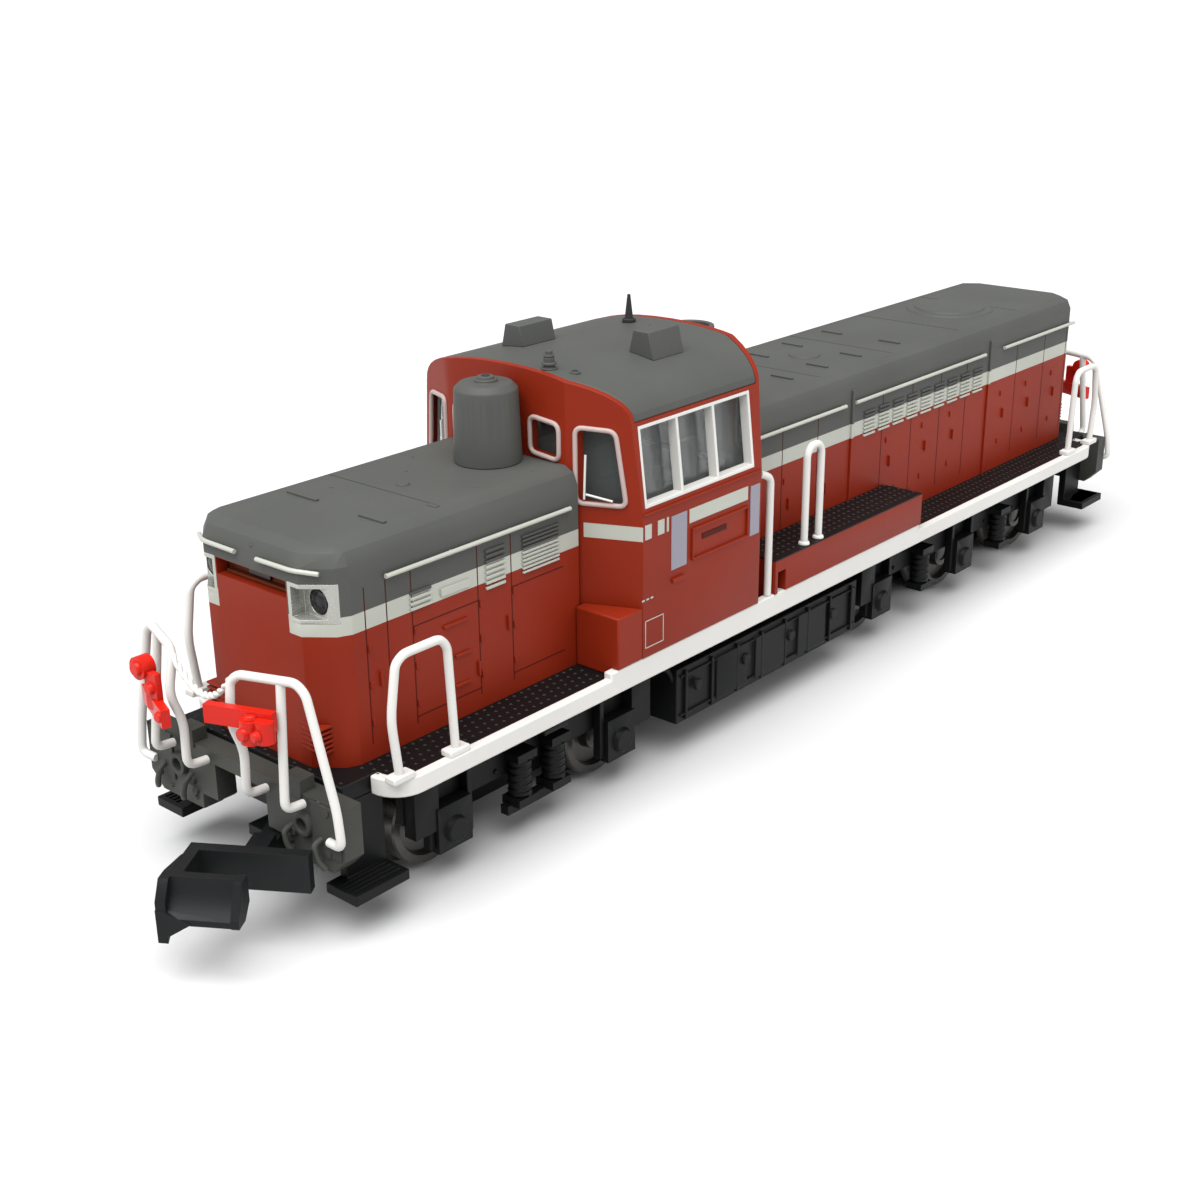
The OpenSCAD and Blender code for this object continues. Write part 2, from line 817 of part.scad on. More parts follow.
// Spur gear outline, with one tooth centred on angle phase.
module gear_outline(teeth, m, tip, root, tooth_w, phase) {
    r = teeth * m / 2;
    circle(r = r - root);
    for (i = [0 : teeth - 1])
        rotate(phase + i * 360 / teeth)
            polygon([[r - root - 0.1, -tooth_w * 0.62], [r, -tooth_w / 2], [r + tip, -tooth_w * 0.3],
                [r + tip, tooth_w * 0.3], [r, tooth_w / 2], [r - root - 0.1, tooth_w * 0.62]]);
}

// Phase of a gear that meshes with another whose phase is known, in direction dir.
function mesh_phase(phase, teeth_a, teeth_b, dir) =
    dir + 180 + 180 / teeth_b - (phase - dir) * teeth_a / teeth_b;

// The line of gear centres from the drive gear down to an outer axle, as [y, z].
function train_dir(half_base, side) = atan2(axle_z - drive_z, side * half_base);
function train_at(half_base, side, d) =
    [d * cos(train_dir(half_base, side)), drive_z + d * sin(train_dir(half_base, side))];

module spur_at(bogie_y, centre, teeth, phase, bore_r) {
    translate([0, bogie_y + centre[0], centre[1]])
        along_x(gear_x[0], gear_x[1])
            difference() {
                gear_outline(teeth, gear_m, 0.16, 0.22, 0.3, phase);
                circle(r = bore_r);
            }
}

stud_r = 0.5;
keeper_z = [0.7, 1.15];

module drive_gear(bogie_y) {
    translate([0, bogie_y, drive_z]) {
        along_x(-0.8, 0.8)
            difference() {
                gear_outline(worm_teeth, worm_m, 0.12, 0.3, 0.28, 90);
                circle(r = stud_r + run_gap);
            }
        along_x(0.8, 0.9)
            difference() {
                circle(r = 1.6);
                circle(r = stud_r + run_gap);
            }
    }
    spur_at(bogie_y, [0, drive_z], spur_teeth, 0, stud_r + run_gap);
}

module drive_gear_front() {
    color("#e4dcc6") drive_gear(front_bogie_y);
}

module drive_gear_rear() {
    color("#e4dcc6") drive_gear(rear_bogie_y);
}

// Idler number n, counted from 1, between the drive gear and the axle on one side.
function idler_phase(half_base, side, n) =
    n == 0 ? 0 : mesh_phase(idler_phase(half_base, side, n - 1), spur_teeth, spur_teeth,
        train_dir(half_base, side));

module idler(bogie_y, half_base, side, n, step) {
    color("#e4dcc6")
        spur_at(bogie_y, train_at(half_base, side, n * step), spur_teeth,
            idler_phase(half_base, side, n), stud_r + run_gap);
}

module idler_front_a() { idler(front_bogie_y, front_half_base, -1, 1, front_step); }
module idler_front_b() { idler(front_bogie_y, front_half_base, 1, 1, front_step); }
module idler_rear_a() { idler(rear_bogie_y, rear_half_base, -1, 1, rear_step); }
module idler_rear_b() { idler(rear_bogie_y, rear_half_base, -1, 2, rear_step); }
module idler_rear_c() { idler(rear_bogie_y, rear_half_base, 1, 1, rear_step); }
module idler_rear_d() { idler(rear_bogie_y, rear_half_base, 1, 2, rear_step); }

// ---------- bogies ----------

// A stud, or the hole for it, through a point on the line of gear centres.
module stud(half_base, side, d, half) {
    at = train_at(half_base, side, d);
    translate([-half, at[0], at[1]]) rotate([0, 90, 0]) cylinder(r = stud_r, h = 2 * half);
}

module bogie_core(bogie_y, half_len, half_base, axles, idlers, step, mid_half, mid_top) {
    x_out = 3.1;
    x_in = [-1.6, 2.5];
    end_wall = 0.35;
    low = keeper_z[1];
    color("#232323")
    translate([0, bogie_y, 0])
        difference() {
            union() {
                slab([-x_out, x_out], [-half_len, half_len], [low, 6]);
                slab([-x_out, x_out], [-mid_half, mid_half], [low, mid_top]);
                translate([0, 0, mid_top - 0.1]) cylinder(r = turret_r, h = 10.5 - mid_top + 0.1);
            }
            slab(x_in, [-half_len + end_wall, half_len - end_wall], [low - 1, 5.3]);
            slab([0.7, x_in[1]], [-mid_half + 0.5, mid_half - 0.5], [low - 1, mid_top + 0.3]);
            slab([-1.05, x_in[1]], [-3.35, 3.35], [low - 1, 12]);
            for (y = axles)
                translate([-5, y, axle_z]) rotate([0, 90, 0]) cylinder(r = axle_r + run_gap, h = 10);
            translate([-5, 0, drive_z]) rotate([0, 90, 0]) cylinder(r = stud_r, h = 10);
            for (side = [-1, 1])
                for (n = [1 : idlers])
                    stud(half_base, side, n * step, 5);
        }
    color("#9a9b9c")
    translate([0, bogie_y, 0]) {
        translate([-x_out, 0, drive_z]) rotate([0, 90, 0]) cylinder(r = stud_r, h = 2 * x_out);
        for (side = [-1, 1])
            for (n = [1 : idlers])
                stud(half_base, side, n * step, x_out);
    }
}

module bogie_core_front() {
    bogie_core(front_bogie_y, front_core_half, front_half_base, [-front_half_base, front_half_base], 1,
        front_step, 6.9, 8.4);
}

module bogie_core_rear() {
    bogie_core(rear_bogie_y, rear_core_half, rear_half_base, [-rear_half_base, 0, rear_half_base], 2,
        rear_step, 11.6, 8.9);
}

module coil(y, z0, z1) {
    turns = 5;
    pitch = (z1 - z0) / turns;
    translate([7.4, y, z0]) cylinder(r = 0.4, h = z1 - z0);
    for (i = [0 : turns - 1])
        translate([7.4, y, z0 + (i + 0.25) * pitch]) cylinder(r = 0.7, h = pitch / 2);
}

module axlebox(y) {
    slab([6.9, 7.9], [y - 1.3, y + 1.3], [2.1, 4.9]);
    translate([7.9, y, axle_z]) rotate([0, 90, 0]) cylinder(r = 0.7, h = 0.25);
}

// One side frame on the +X side, with its arms to the gearbox.
module side_frame(half_len, axles, springs, arms) {
    slab([6.4, 6.95], [-half_len, half_len], [4.3, 6.5]);
    for (y = axles) axlebox(y);
    for (y = springs) {
        coil(y, 2.9, 5.3);
        slab([6.7, 8.1], [y - 0.8, y + 0.8], [5.3, 5.8]);
        slab([6.7, 8.1], [y - 0.8, y + 0.8], [2.4, 2.9]);
    }
    for (a = arms) slab([3.1, 6.5], [a - 1.1, a + 1.1], [5, 6.4]);
    for (s = [-1, 1])
        slab([6.9, 7.8], [s * (half_len - 1) - 0.9, s * (half_len - 1) + 0.9], [3.6, 6.4]);
}

module side_frames_front() {
    color("#1a1a1a")
    translate([0, front_bogie_y, 0]) both_sides() {
        side_frame(10.2, [-front_half_base, front_half_base], [-1.45, 1.45], [0]);
        slab([6.9, 7.5], [-2.6, 2.6], [1.9, 2.5]);
    }
}

module side_frames_rear() {
    color("#1a1a1a")
    translate([0, rear_bogie_y, 0]) both_sides()
        side_frame(15.3, [-rear_half_base, 0, rear_half_base], [-6.2, 6.2], [-6.2, 6.2]);
}

module keeper_plate(y, half_len) {
    color("#232323")
    translate([0, y, 0]) {
        slab([-3.1, 3.1], [-half_len, half_len], keeper_z);
        for (s = [-1, 1])
            slab([-1.5, 0.6], [s * (half_len - 1.1) - 0.3, s * (half_len - 1.1) + 0.3], [keeper_z[1], 1.65]);
    }
}

module keeper_plate_front() { keeper_plate(front_bogie_y, front_core_half); }
module keeper_plate_rear() { keeper_plate(rear_bogie_y, rear_core_half); }

module pickups(y, half_len, tabs) {
    color("#c98a4a")
    translate([0, y, 0]) both_sides() {
        slab([3.4, 3.52], [-half_len, half_len], [4.2, 4.8]);
        for (t = tabs) slab([3.1, 3.4], [t - 0.8, t + 0.8], [4.2, 4.8]);
    }
}

module pickups_front() { pickups(front_bogie_y, 8, [0]); }
module pickups_rear() { pickups(rear_bogie_y, 13, [-6.2, 6.2]); }

// A pair of wheels on their axle; phase and teeth describe the axle gear, 0 teeth for none.
module wheelset(y, teeth, phase) {
    back = back_to_back / 2;
    face = back + 2.1;
    tread_r = wheel_d / 2;
    color("#5c5a58")
    translate([0, y, axle_z]) {
        rotate([0, 90, 0]) translate([0, 0, -face]) cylinder(r = axle_r, h = 2 * face);
        for (s = [0, 1])
            mirror([s, 0, 0]) rotate([0, 90, 0])
                rotate_extrude($fn = 64)
                    polygon([[axle_r, back], [tread_r + flange - 0.1, back],
                        [tread_r + flange, back + 0.2], [tread_r + flange - 0.1, back + 0.45],
                        [tread_r + 0.06, back + 0.6], [tread_r, back + 0.75],
                        [tread_r, face - 0.1], [tread_r - 0.1, face], [tread_r - 0.55, face],
                        [tread_r - 0.7, face - 0.5], [1.25, face - 0.5],
                        [1.15, face + 0.1], [axle_r, face + 0.1]]);
    }
    if (teeth > 0)
        color("#e4dcc6") spur_at(y, [0, axle_z], teeth, phase, axle_r);
}

function axle_phase(half_base, side, idlers) =
    mesh_phase(idler_phase(half_base, side, idlers), spur_teeth, axle_teeth, train_dir(half_base, side));

module wheelset_1() {
    wheelset(front_bogie_y - front_half_base, axle_teeth, axle_phase(front_half_base, -1, 1));
}

module wheelset_2() {
    wheelset(front_bogie_y + front_half_base, axle_teeth, axle_phase(front_half_base, 1, 1));
}

module wheelset_3() {
    wheelset(rear_bogie_y - rear_half_base, axle_teeth, axle_phase(rear_half_base, -1, 2));
}

module wheelset_4() {
    wheelset(rear_bogie_y, 0, 0);
}

module wheelset_5() {
    wheelset(rear_bogie_y + rear_half_base, axle_teeth, axle_phase(rear_half_base, 1, 2));
}

// ---------- couplers ----------

shank_z = [3.1, 4.7];
pin_r = 0.7;

module coupler_pockets() {
    half = 1.9;
    y0 = -beam_y + beam_t + 0.3;
    y1 = -coupler_y + 1.7;
    color("#1a1a1a")
    both_ends() {
        slab([-half, half], [y0, y1], [shank_z[1] + 0.12, deck_z - deck_t]);
        slab([-half, half], [y0, y1], [2.3, shank_z[0] - 0.12]);
        translate([0, -coupler_y, 2.3]) cylinder(r = pin_r, h = 3.5);
    }
}

// Hook coupler seen from its pivot, pointing towards -Y before it is turned.
module coupler() {
    head_z = [3.4, 5.6];
    head_half = 3.27;
    bar = 7.62;
    claw = 10.5;
    color("#191a1c")
    translate([0, -coupler_y, 0]) rotate([0, 0, coupler_yaw])
        difference() {
            union() {
                translate([0, 0, shank_z[0]]) cylinder(r = 1.55, h = shank_z[1] - shank_z[0]);
                slab([-0.6, 0.6], [-bar, 0], shank_z);
                slab([-0.6, 0.6], [-bar - 0.1, -bar + 2.1], [shank_z[0], head_z[1] - 0.4]);
                slab([-head_half, head_half], [-bar - 0.7, -bar], head_z);
                slab([-head_half, -head_half + 0.7], [-claw - 0.1, -bar - 0.6], head_z);
                along_x(-head_half, 0.5)
                    polygon([[-claw, 4.3], [-claw, head_z[1]], [-claw - 0.5, head_z[1]],
                        [-claw - 0.7, 4.8], [-claw - 1.25, 4.05], [-claw - 1.55, 3.75],
                        [-claw - 1.55, 3.4], [-claw - 0.7, 3.4]]);
                along_x(-head_half - 0.35, -head_half + 0.2)
                    polygon([[-bar - 0.6, 3.6], [-bar - 0.6, 5.2], [-claw, head_z[1]],
                        [-claw - 0.8, head_z[1]], [-claw - 1.5, 4.6], [-claw - 1.6, 2.3],
                        [-claw - 0.9, 2.9]]);
                along_y(-claw - 1.6, -claw - 1.1)
                    polygon([[-head_half - 0.35, 2.3], [-head_half - 0.35, 4.2], [-head_half + 1.5, 3.5]]);
                along_x(0.3, 0.75)
                    polygon([[-claw + 0.1, 4.1], [-claw + 0.1, head_z[1]], [-claw - 0.75, head_z[1]],
                        [-claw - 1.2, 4.6], [-claw - 1.6, 3.9], [-claw - 1.6, 3.4], [-claw - 0.7, 3.4]]);
            }
            translate([0, 0, shank_z[0] - 1]) cylinder(r = pin_r + run_gap, h = 4);
        }
}

module coupler_front() { coupler(); }
module coupler_rear() { rotate([0, 0, 180]) coupler(); }

running_board();
side_sills();
end_beam_front();
end_beam_rear();
corner_steps();
short_hood_shell();
long_hood_shell();
cab_shell();
cab_roof();
cab_glazing();
side_window_frames();
equipment_boxes();
walkway_boxes();
steam_stack();
engine_exhaust();
roof_vents();
whistle();
antenna();
headlight_bezels();
light_guides();
light_boards();
end_rails_front();
end_rails_rear();
walkway_rails();
uncoupling_levers();
cab_interior();
underframe_tanks();
chassis_right();
chassis_left();
chassis_screws();
motor_can();
shaft_bearings();
motor_rotor();
flywheels();
worm_shaft_front();
worm_shaft_rear();
bogie_core_front();
side_frames_front();
keeper_plate_front();
pickups_front();
bogie_core_rear();
side_frames_rear();
keeper_plate_rear();
pickups_rear();
wheelset_1();
wheelset_2();
wheelset_3();
wheelset_4();
wheelset_5();
drive_gear_front();
idler_front_a();
idler_front_b();
drive_gear_rear();
idler_rear_a();
idler_rear_b();
idler_rear_c();
idler_rear_d();
coupler_pockets();
coupler_front();
coupler_rear();
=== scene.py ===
import math

import bmesh
import bpy
from mathutils import Matrix, Vector


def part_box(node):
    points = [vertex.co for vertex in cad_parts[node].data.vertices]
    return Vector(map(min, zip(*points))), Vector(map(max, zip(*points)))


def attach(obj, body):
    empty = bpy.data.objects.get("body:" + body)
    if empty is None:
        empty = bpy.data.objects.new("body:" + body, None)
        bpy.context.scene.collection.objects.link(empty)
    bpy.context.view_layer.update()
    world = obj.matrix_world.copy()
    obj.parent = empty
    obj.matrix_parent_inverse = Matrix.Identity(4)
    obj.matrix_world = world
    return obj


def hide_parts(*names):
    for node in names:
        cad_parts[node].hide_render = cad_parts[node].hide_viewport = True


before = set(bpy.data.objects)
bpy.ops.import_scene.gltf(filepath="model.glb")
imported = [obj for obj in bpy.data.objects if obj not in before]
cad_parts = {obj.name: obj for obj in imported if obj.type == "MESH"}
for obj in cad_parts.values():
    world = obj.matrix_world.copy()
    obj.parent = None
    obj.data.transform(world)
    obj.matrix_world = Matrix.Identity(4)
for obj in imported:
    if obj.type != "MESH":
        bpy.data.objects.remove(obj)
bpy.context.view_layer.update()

MM = 0.001


# ---------- places taken from the frame, in millimetres ----------

def box_mm(node):
    """Lowest and highest corner of a CAD node in millimetres."""
    low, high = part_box(node)
    return low / MM, high / MM


HOOD_LOW, HOOD_HIGH = box_mm("short_hood_shell")
CAB_LOW, CAB_HIGH = box_mm("cab_shell")
STACK_LOW, STACK_HIGH = box_mm("steam_stack")
HOOD_X = HOOD_HIGH.x
HOOD_TOP = HOOD_HIGH.z
FRONT_Y = HOOD_LOW.y
REAR_Y = box_mm("long_hood_shell")[1].y
CAB_X = CAB_HIGH.x
CAB_FRONT = CAB_LOW.y
CAB_REAR = CAB_HIGH.y
DECK_Z = box_mm("running_board")[1].z
BOX_TOP = box_mm("walkway_boxes")[1].z

# Places that the frame's boxes don't give
BEAM_Y = -44.5
WALKWAY_TOP = 11.2
AXLE_Z = 3.25
FRONT_BOGIE_Y = -28.9
REAR_BOGIE_Y = 20.9
CREASE_X = 4.8
CORNER_IN = 1.9
BAND = (15.85, 16.9)
CAB_BAND = (16.3, 17.2)
END_PANEL_X = 2.95
LAMP_X = 4.35
LAMP_Z = 17.65
RAIL_Z = 18.45
SEAM_HALF = 0.035
SEAM_LOW = 9.2
SEAM_TOP = BAND[1] + 1.3
SEAM_PROUD = 0.012
TURN = Matrix.Rotation(math.pi, 4, "Z")
SAME = Matrix.Identity(4)


# ---------- materials ----------

def shader(name, colour, roughness, metallic=0.0, vary=0.06, grain=900, bump=0.04, coat=0.0, shine=0.16):
    """A procedural surface: broad colour drift, mottled gloss and a moulded or sprayed texture."""
    mat = bpy.data.materials.new(name)
    mat.use_nodes = True
    nodes, links = mat.node_tree.nodes, mat.node_tree.links
    bsdf = nodes["Principled BSDF"]
    bsdf.inputs["Metallic"].default_value = metallic
    bsdf.inputs["Coat Weight"].default_value = coat
    bsdf.inputs["Coat Roughness"].default_value = 0.25
    bsdf.inputs["Specular IOR Level"].default_value = shine
    where = nodes.new("ShaderNodeTexCoord")
    drift = nodes.new("ShaderNodeTexNoise")
    drift.inputs["Scale"].default_value = grain / 6
    drift.inputs["Detail"].default_value = 6
    links.new(where.outputs["Object"], drift.inputs["Vector"])
    ramp = nodes.new("ShaderNodeValToRGB")
    ramp.color_ramp.elements[0].position = 0.3
    ramp.color_ramp.elements[1].position = 0.7
    ramp.color_ramp.elements[0].color = [c * (1 - vary) for c in colour] + [1]
    ramp.color_ramp.elements[1].color = [min(1, c * (1 + vary)) for c in colour] + [1]
    links.new(drift.outputs["Fac"], ramp.inputs["Fac"])
    links.new(ramp.outputs["Color"], bsdf.inputs["Base Color"])
    fine = nodes.new("ShaderNodeTexNoise")
    fine.inputs["Scale"].default_value = grain * 9
    fine.inputs["Detail"].default_value = 4
    links.new(where.outputs["Object"], fine.inputs["Vector"])
    gloss = nodes.new("ShaderNodeMapRange")
    gloss.inputs["To Min"].default_value = max(0.05, roughness - 0.09)
    gloss.inputs["To Max"].default_value = min(1.0, roughness + 0.09)
    links.new(fine.outputs["Fac"], gloss.inputs["Value"])
    links.new(gloss.outputs["Result"], bsdf.inputs["Roughness"])
    relief = nodes.new("ShaderNodeBump")
    relief.inputs["Strength"].default_value = bump
    relief.inputs["Distance"].default_value = 0.02 * MM
    links.new(fine.outputs["Fac"], relief.inputs["Height"])
    links.new(relief.outputs["Normal"], bsdf.inputs["Normal"])
    return mat


def clear(name, colour, roughness, transmission, alpha):
    """Clear moulded plastic with slight flow marks."""
    mat = shader(name, colour, roughness, vary=0.03, bump=0.02)
    bsdf = mat.node_tree.nodes["Principled BSDF"]
    bsdf.inputs["Transmission Weight"].default_value = transmission
    bsdf.inputs["Alpha"].default_value = alpha
    bsdf.inputs["IOR"].default_value = 1.45
    return mat


RED = shader("red_paint", (0.21, 0.0165, 0.0042), 0.46, vary=0.06, bump=0.06)
GREY = shader("roof_grey_paint", (0.070, 0.072, 0.066), 0.52, vary=0.06, bump=0.08)
BEAM_GREY = shader("beam_grey_paint", (0.046, 0.047, 0.041), 0.5, vary=0.14, bump=0.1)
WHITE = shader("white_paint", (0.60, 0.59, 0.56), 0.4, vary=0.03)
SILVER = shader("silver_white_paint", (0.41, 0.42, 0.37), 0.36, metallic=0.1, vary=0.05)
CHROME = shader("lamp_silver", (0.40, 0.40, 0.37), 0.26, metallic=0.6, vary=0.08)
PINK_RIM = shader("window_rubber_paint", (0.40, 0.31, 0.29), 0.38, vary=0.05)
LAVENDER = shader("lavender_plate", (0.25, 0.24, 0.28), 0.45, vary=0.04)
BLACK = shader("black_plastic", (0.0045, 0.0048, 0.0048), 0.46, vary=0.2, bump=0.1)
COUPLER = shader("coupler_plastic", (0.0075, 0.0085, 0.0088), 0.42, vary=0.2, bump=0.14, grain=500)
LINE = shader("panel_shadow", (0.055, 0.0045, 0.002), 0.6, vary=0.1)
GREY_LINE = shader("roof_shadow", (0.026, 0.029, 0.027), 0.6, vary=0.1)
LEVER = shader("lever_red", (0.50, 0.012, 0.005), 0.34, vary=0.05, coat=0.15)
LENS = shader("dark_lens", (0.005, 0.005, 0.006), 0.12, vary=0.2, coat=0.4)
AMBER = shader("slot_brown", (0.10, 0.020, 0.005), 0.45, vary=0.35)
GLASS = clear("cab_glass", (0.16, 0.18, 0.175), 0.08, 0.55, 0.42)
INTERIOR = shader("interior_grey", (0.055, 0.064, 0.058), 0.55)
WHEEL = shader("wheel_steel", (0.09, 0.085, 0.08), 0.3, metallic=0.85, vary=0.15)
BRASS = shader("brass", (0.55, 0.36, 0.11), 0.28, metallic=0.9)
COPPER = shader("copper", (0.50, 0.22, 0.10), 0.3, metallic=0.9)
ZINC = shader("cast_zinc", (0.26, 0.26, 0.27), 0.45, metallic=0.7, vary=0.12, bump=0.2)
STEEL = shader("plated_steel", (0.42, 0.42, 0.43), 0.28, metallic=0.9)
IVORY = shader("gear_ivory", (0.62, 0.55, 0.40), 0.4)
GREEN = shader("circuit_green", (0.03, 0.14, 0.05), 0.3, vary=0.15)


# ---------- mesh helpers ----------

def soften(obj, bevel, segments=2):
    """Small rounded edges, and smooth shading that keeps the sharp corners."""
    for p in obj.data.polygons:
        p.use_smooth = True
    obj.data.set_sharp_from_angle(angle=math.radians(32))
    if bevel:
        mod = obj.modifiers.new("edge", "BEVEL")
        mod.width = bevel * MM
        mod.segments = segments
        mod.limit_method = "ANGLE"
        mod.angle_limit = math.radians(38)
        mod.use_clamp_overlap = True


def piece(name, bm, body, mats, bevel=0.0, replaces=()):
    """Makes a bmesh, drawn in metres, into a piece that rides on a body."""
    mesh = bpy.data.meshes.new(name)
    bm.to_mesh(mesh)
    bm.free()
    for m in mats:
        mesh.materials.append(m)
    obj = bpy.data.objects.new(name, mesh)
    bpy.context.scene.collection.objects.link(obj)
    soften(obj, bevel)
    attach(obj, body)
    if replaces:
        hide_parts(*replaces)
    return obj


def block(bm, x, y, z, mat=0, turn=SAME):
    """A box between two corners given in millimetres."""
    low = Vector((min(x), min(y), min(z)))
    high = Vector((max(x), max(y), max(z)))
    size = Matrix.Diagonal((*(high - low), 1))
    place = Matrix.Scale(MM, 4) @ turn @ Matrix.Translation((low + high) / 2) @ size
    made = bmesh.ops.create_cube(bm, size=1, matrix=place)
    for v in made["verts"]:
        for f in v.link_faces:
            f.material_index = mat


def disc(bm, centre, axis, r1, r2, h, mat=0, sides=32, turn=SAME):
    """A cylinder or cone in millimetres, from its base centre along an axis."""
    tilt = Vector((0, 0, 1)).rotation_difference(Vector(axis)).to_matrix().to_4x4()
    place = Matrix.Scale(MM, 4) @ turn @ Matrix.Translation(centre) @ tilt @ Matrix.Translation((0, 0, h / 2))
    made = bmesh.ops.create_cone(bm, cap_ends=True, segments=sides,
                                 radius1=r1, radius2=r2, depth=h, matrix=place)
    for v in made["verts"]:
        for f in v.link_faces:
            f.material_index = mat


def ring(bm, centre, outer, inner, length, turn=SAME, sides=32):
    """A short tube standing forward from a beam, open along its middle."""
    loops = []
    for r, y in ((outer, 0), (outer * 0.92, -length), (inner, -length), (inner, 0)):
        loop = []
        for i in range(sides):
            a = 2 * math.pi * i / sides
            at = Vector((centre[0] + r * math.cos(a), centre[1] + y, centre[2] + r * math.sin(a)))
            loop.append(bm.verts.new(turn @ at * MM))
        loops.append(loop)
    for k, loop in enumerate(loops):
        after = loops[(k + 1) % len(loops)]
        for i in range(sides):
            j = (i + 1) % sides
            bm.faces.new((loop[i], loop[j], after[j], after[i]))
    bmesh.ops.recalc_face_normals(bm, faces=bm.faces)


def rounded(points, radius, steps=5):
    """A line in millimetres with its corners rounded off."""
    pts = [Vector(p) for p in points]
    out = [pts[0]]
    for a, b, c in zip(pts, pts[1:], pts[2:]):
        d = min(radius, (a - b).length * 0.45, (c - b).length * 0.45)
        start, end = b + (a - b).normalized() * d, b + (c - b).normalized() * d
        for i in range(steps + 1):
            t = i / steps
            out.append(start * (1 - t) ** 2 + b * 2 * t * (1 - t) + end * t ** 2)
    return out + [pts[-1]]


def wires(name, lines, radius, body, mat, turns=(SAME,), bend=0.45, replaces=()):
    """Round wire along several lines, each given in millimetres."""
    curve = bpy.data.curves.new(name, "CURVE")
    curve.dimensions = "3D"
    curve.bevel_depth = radius * MM
    curve.bevel_resolution = 4
    curve.use_fill_caps = True
    for turn in turns:
        for line in lines:
            pts = rounded(line, bend) if bend else [Vector(p) for p in line]
            spline = curve.splines.new("POLY")
            spline.points.add(len(pts) - 1)
            for p, co in zip(spline.points, pts):
                p.co = (*(turn @ co * MM), 1)
    curve.materials.append(mat)
    obj = bpy.data.objects.new(name, curve)
    bpy.context.scene.collection.objects.link(obj)
    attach(obj, body)
    if replaces:
        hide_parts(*replaces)
    return obj


def skin(node, name, mats, bevel, cuts=(), pick=None, body="loco_frame"):
    """A finished shell over a CAD node: its outline with softened edges and crisp paint lines."""
    bm = bmesh.new()
    bm.from_mesh(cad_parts[node].data)
    bmesh.ops.remove_doubles(bm, verts=bm.verts, dist=0.001 * MM)
    bmesh.ops.dissolve_limit(bm, angle_limit=math.radians(1), verts=bm.verts, edges=bm.edges)
    for point, normal in cuts:
        geom = bm.verts[:] + bm.edges[:] + bm.faces[:]
        bmesh.ops.bisect_plane(bm, geom=geom, dist=0.001 * MM, plane_co=Vector(point) * MM, plane_no=normal)
    for f in bm.faces:
        f.material_index = pick(f.calc_center_median() / MM, f.normal) if pick else 0
    return piece(name, bm, body, mats, bevel, replaces=(node,))


BOTH = (SAME, Matrix.Scale(-1, 4, (1, 0, 0)))
ENDS = (SAME, TURN)


# ---------- camera, light, floor ----------

def make_camera():
    """The camera, placed by its azimuth, elevation and roll."""
    az, el, roll = math.radians(40.882), math.radians(21.59), math.radians(-0.525)
    back = Vector((math.sin(az) * math.cos(el), -math.cos(az) * math.cos(el), math.sin(el)))
    right = Vector((math.cos(az), math.sin(az), 0))
    up = back.cross(right)
    side = right * math.cos(roll) + up * math.sin(roll)
    top = -right * math.sin(roll) + up * math.cos(roll)
    place = Matrix((side, top, back)).transposed().to_4x4()
    place.translation = Vector((67.304, -92.262, 49.043)) * MM
    data = bpy.data.cameras.new("camera")
    data.sensor_width = 36
    data.lens = 49.75
    data.clip_start = 0.005
    cam = bpy.data.objects.new("camera", data)
    cam.matrix_world = place
    bpy.context.scene.collection.objects.link(cam)
    bpy.context.scene.camera = cam


def make_light(name, place, target, size, power):
    """A square lamp at a place, turned to a target, in metres."""
    data = bpy.data.lights.new(name, "AREA")
    data.size = size
    data.energy = power
    obj = bpy.data.objects.new(name, data)
    obj.location = place
    obj.rotation_euler = (Vector(target) - Vector(place)).to_track_quat("-Z", "Y").to_euler()
    bpy.context.scene.collection.objects.link(obj)


def make_studio():
    """Soft light from above and both sides, and a plain pale floor."""
    bpy.context.scene.view_settings.view_transform = "Standard"
    sun = bpy.data.lights.new("soft_overhead", "SUN")
    sun.energy = 5.2
    sun.angle = 1.1
    high = bpy.data.objects.new("soft_overhead", sun)
    high.rotation_euler = Vector((-0.16, 0.36, -1)).to_track_quat("-Z", "Y").to_euler()
    bpy.context.scene.collection.objects.link(high)
    make_light("right_side", (0.22, 0.08, 0.10), (0, 0.01, 0.012), 0.16, 0.16)
    make_light("front_left", (-0.10, -0.24, 0.12), (0, -0.02, 0.012), 0.16, 0.14)
    world = bpy.data.worlds.new("studio")
    world.use_nodes = True
    world.node_tree.nodes["Background"].inputs["Color"].default_value = (0.96, 0.97, 1, 1)
    world.node_tree.nodes["Background"].inputs["Strength"].default_value = 0.4
    bpy.context.scene.world = world
    bm = bmesh.new()
    bmesh.ops.create_grid(bm, x_segments=2, y_segments=2, size=3)
    mesh = bpy.data.meshes.new("floor")
    bm.to_mesh(mesh)
    bm.free()
    pale = shader("floor_white", (0.56, 0.56, 0.56), 0.9, vary=0.004, bump=0.0, shine=0.0)
    mesh.materials.append(pale)
    floor = bpy.data.objects.new("floor", mesh)
    bpy.context.scene.collection.objects.link(floor)


# ---------- hoods ----------

def hood_paint(front_y, sign):
    """Which paint a face of a hood has: 0 red, 1 grey, 2 silver white."""
    def pick(c, n):
        at_end = sign * (c.y - front_y) < 1.7
        if at_end and abs(c.x) < END_PANEL_X:
            return 1 if c.z > 18.7 else 0
        if c.z > BAND[1]:
            return 1
        return 2 if c.z > BAND[0] else 0
    return pick


def hood_cuts():
    """The planes that give a hood's paint crisp borders."""
    flat = [((0, 0, z), (0, 0, 1)) for z in (*BAND, 18.72)]
    return flat + [((s * END_PANEL_X, 0, 0), (1, 0, 0)) for s in (-1, 1)]


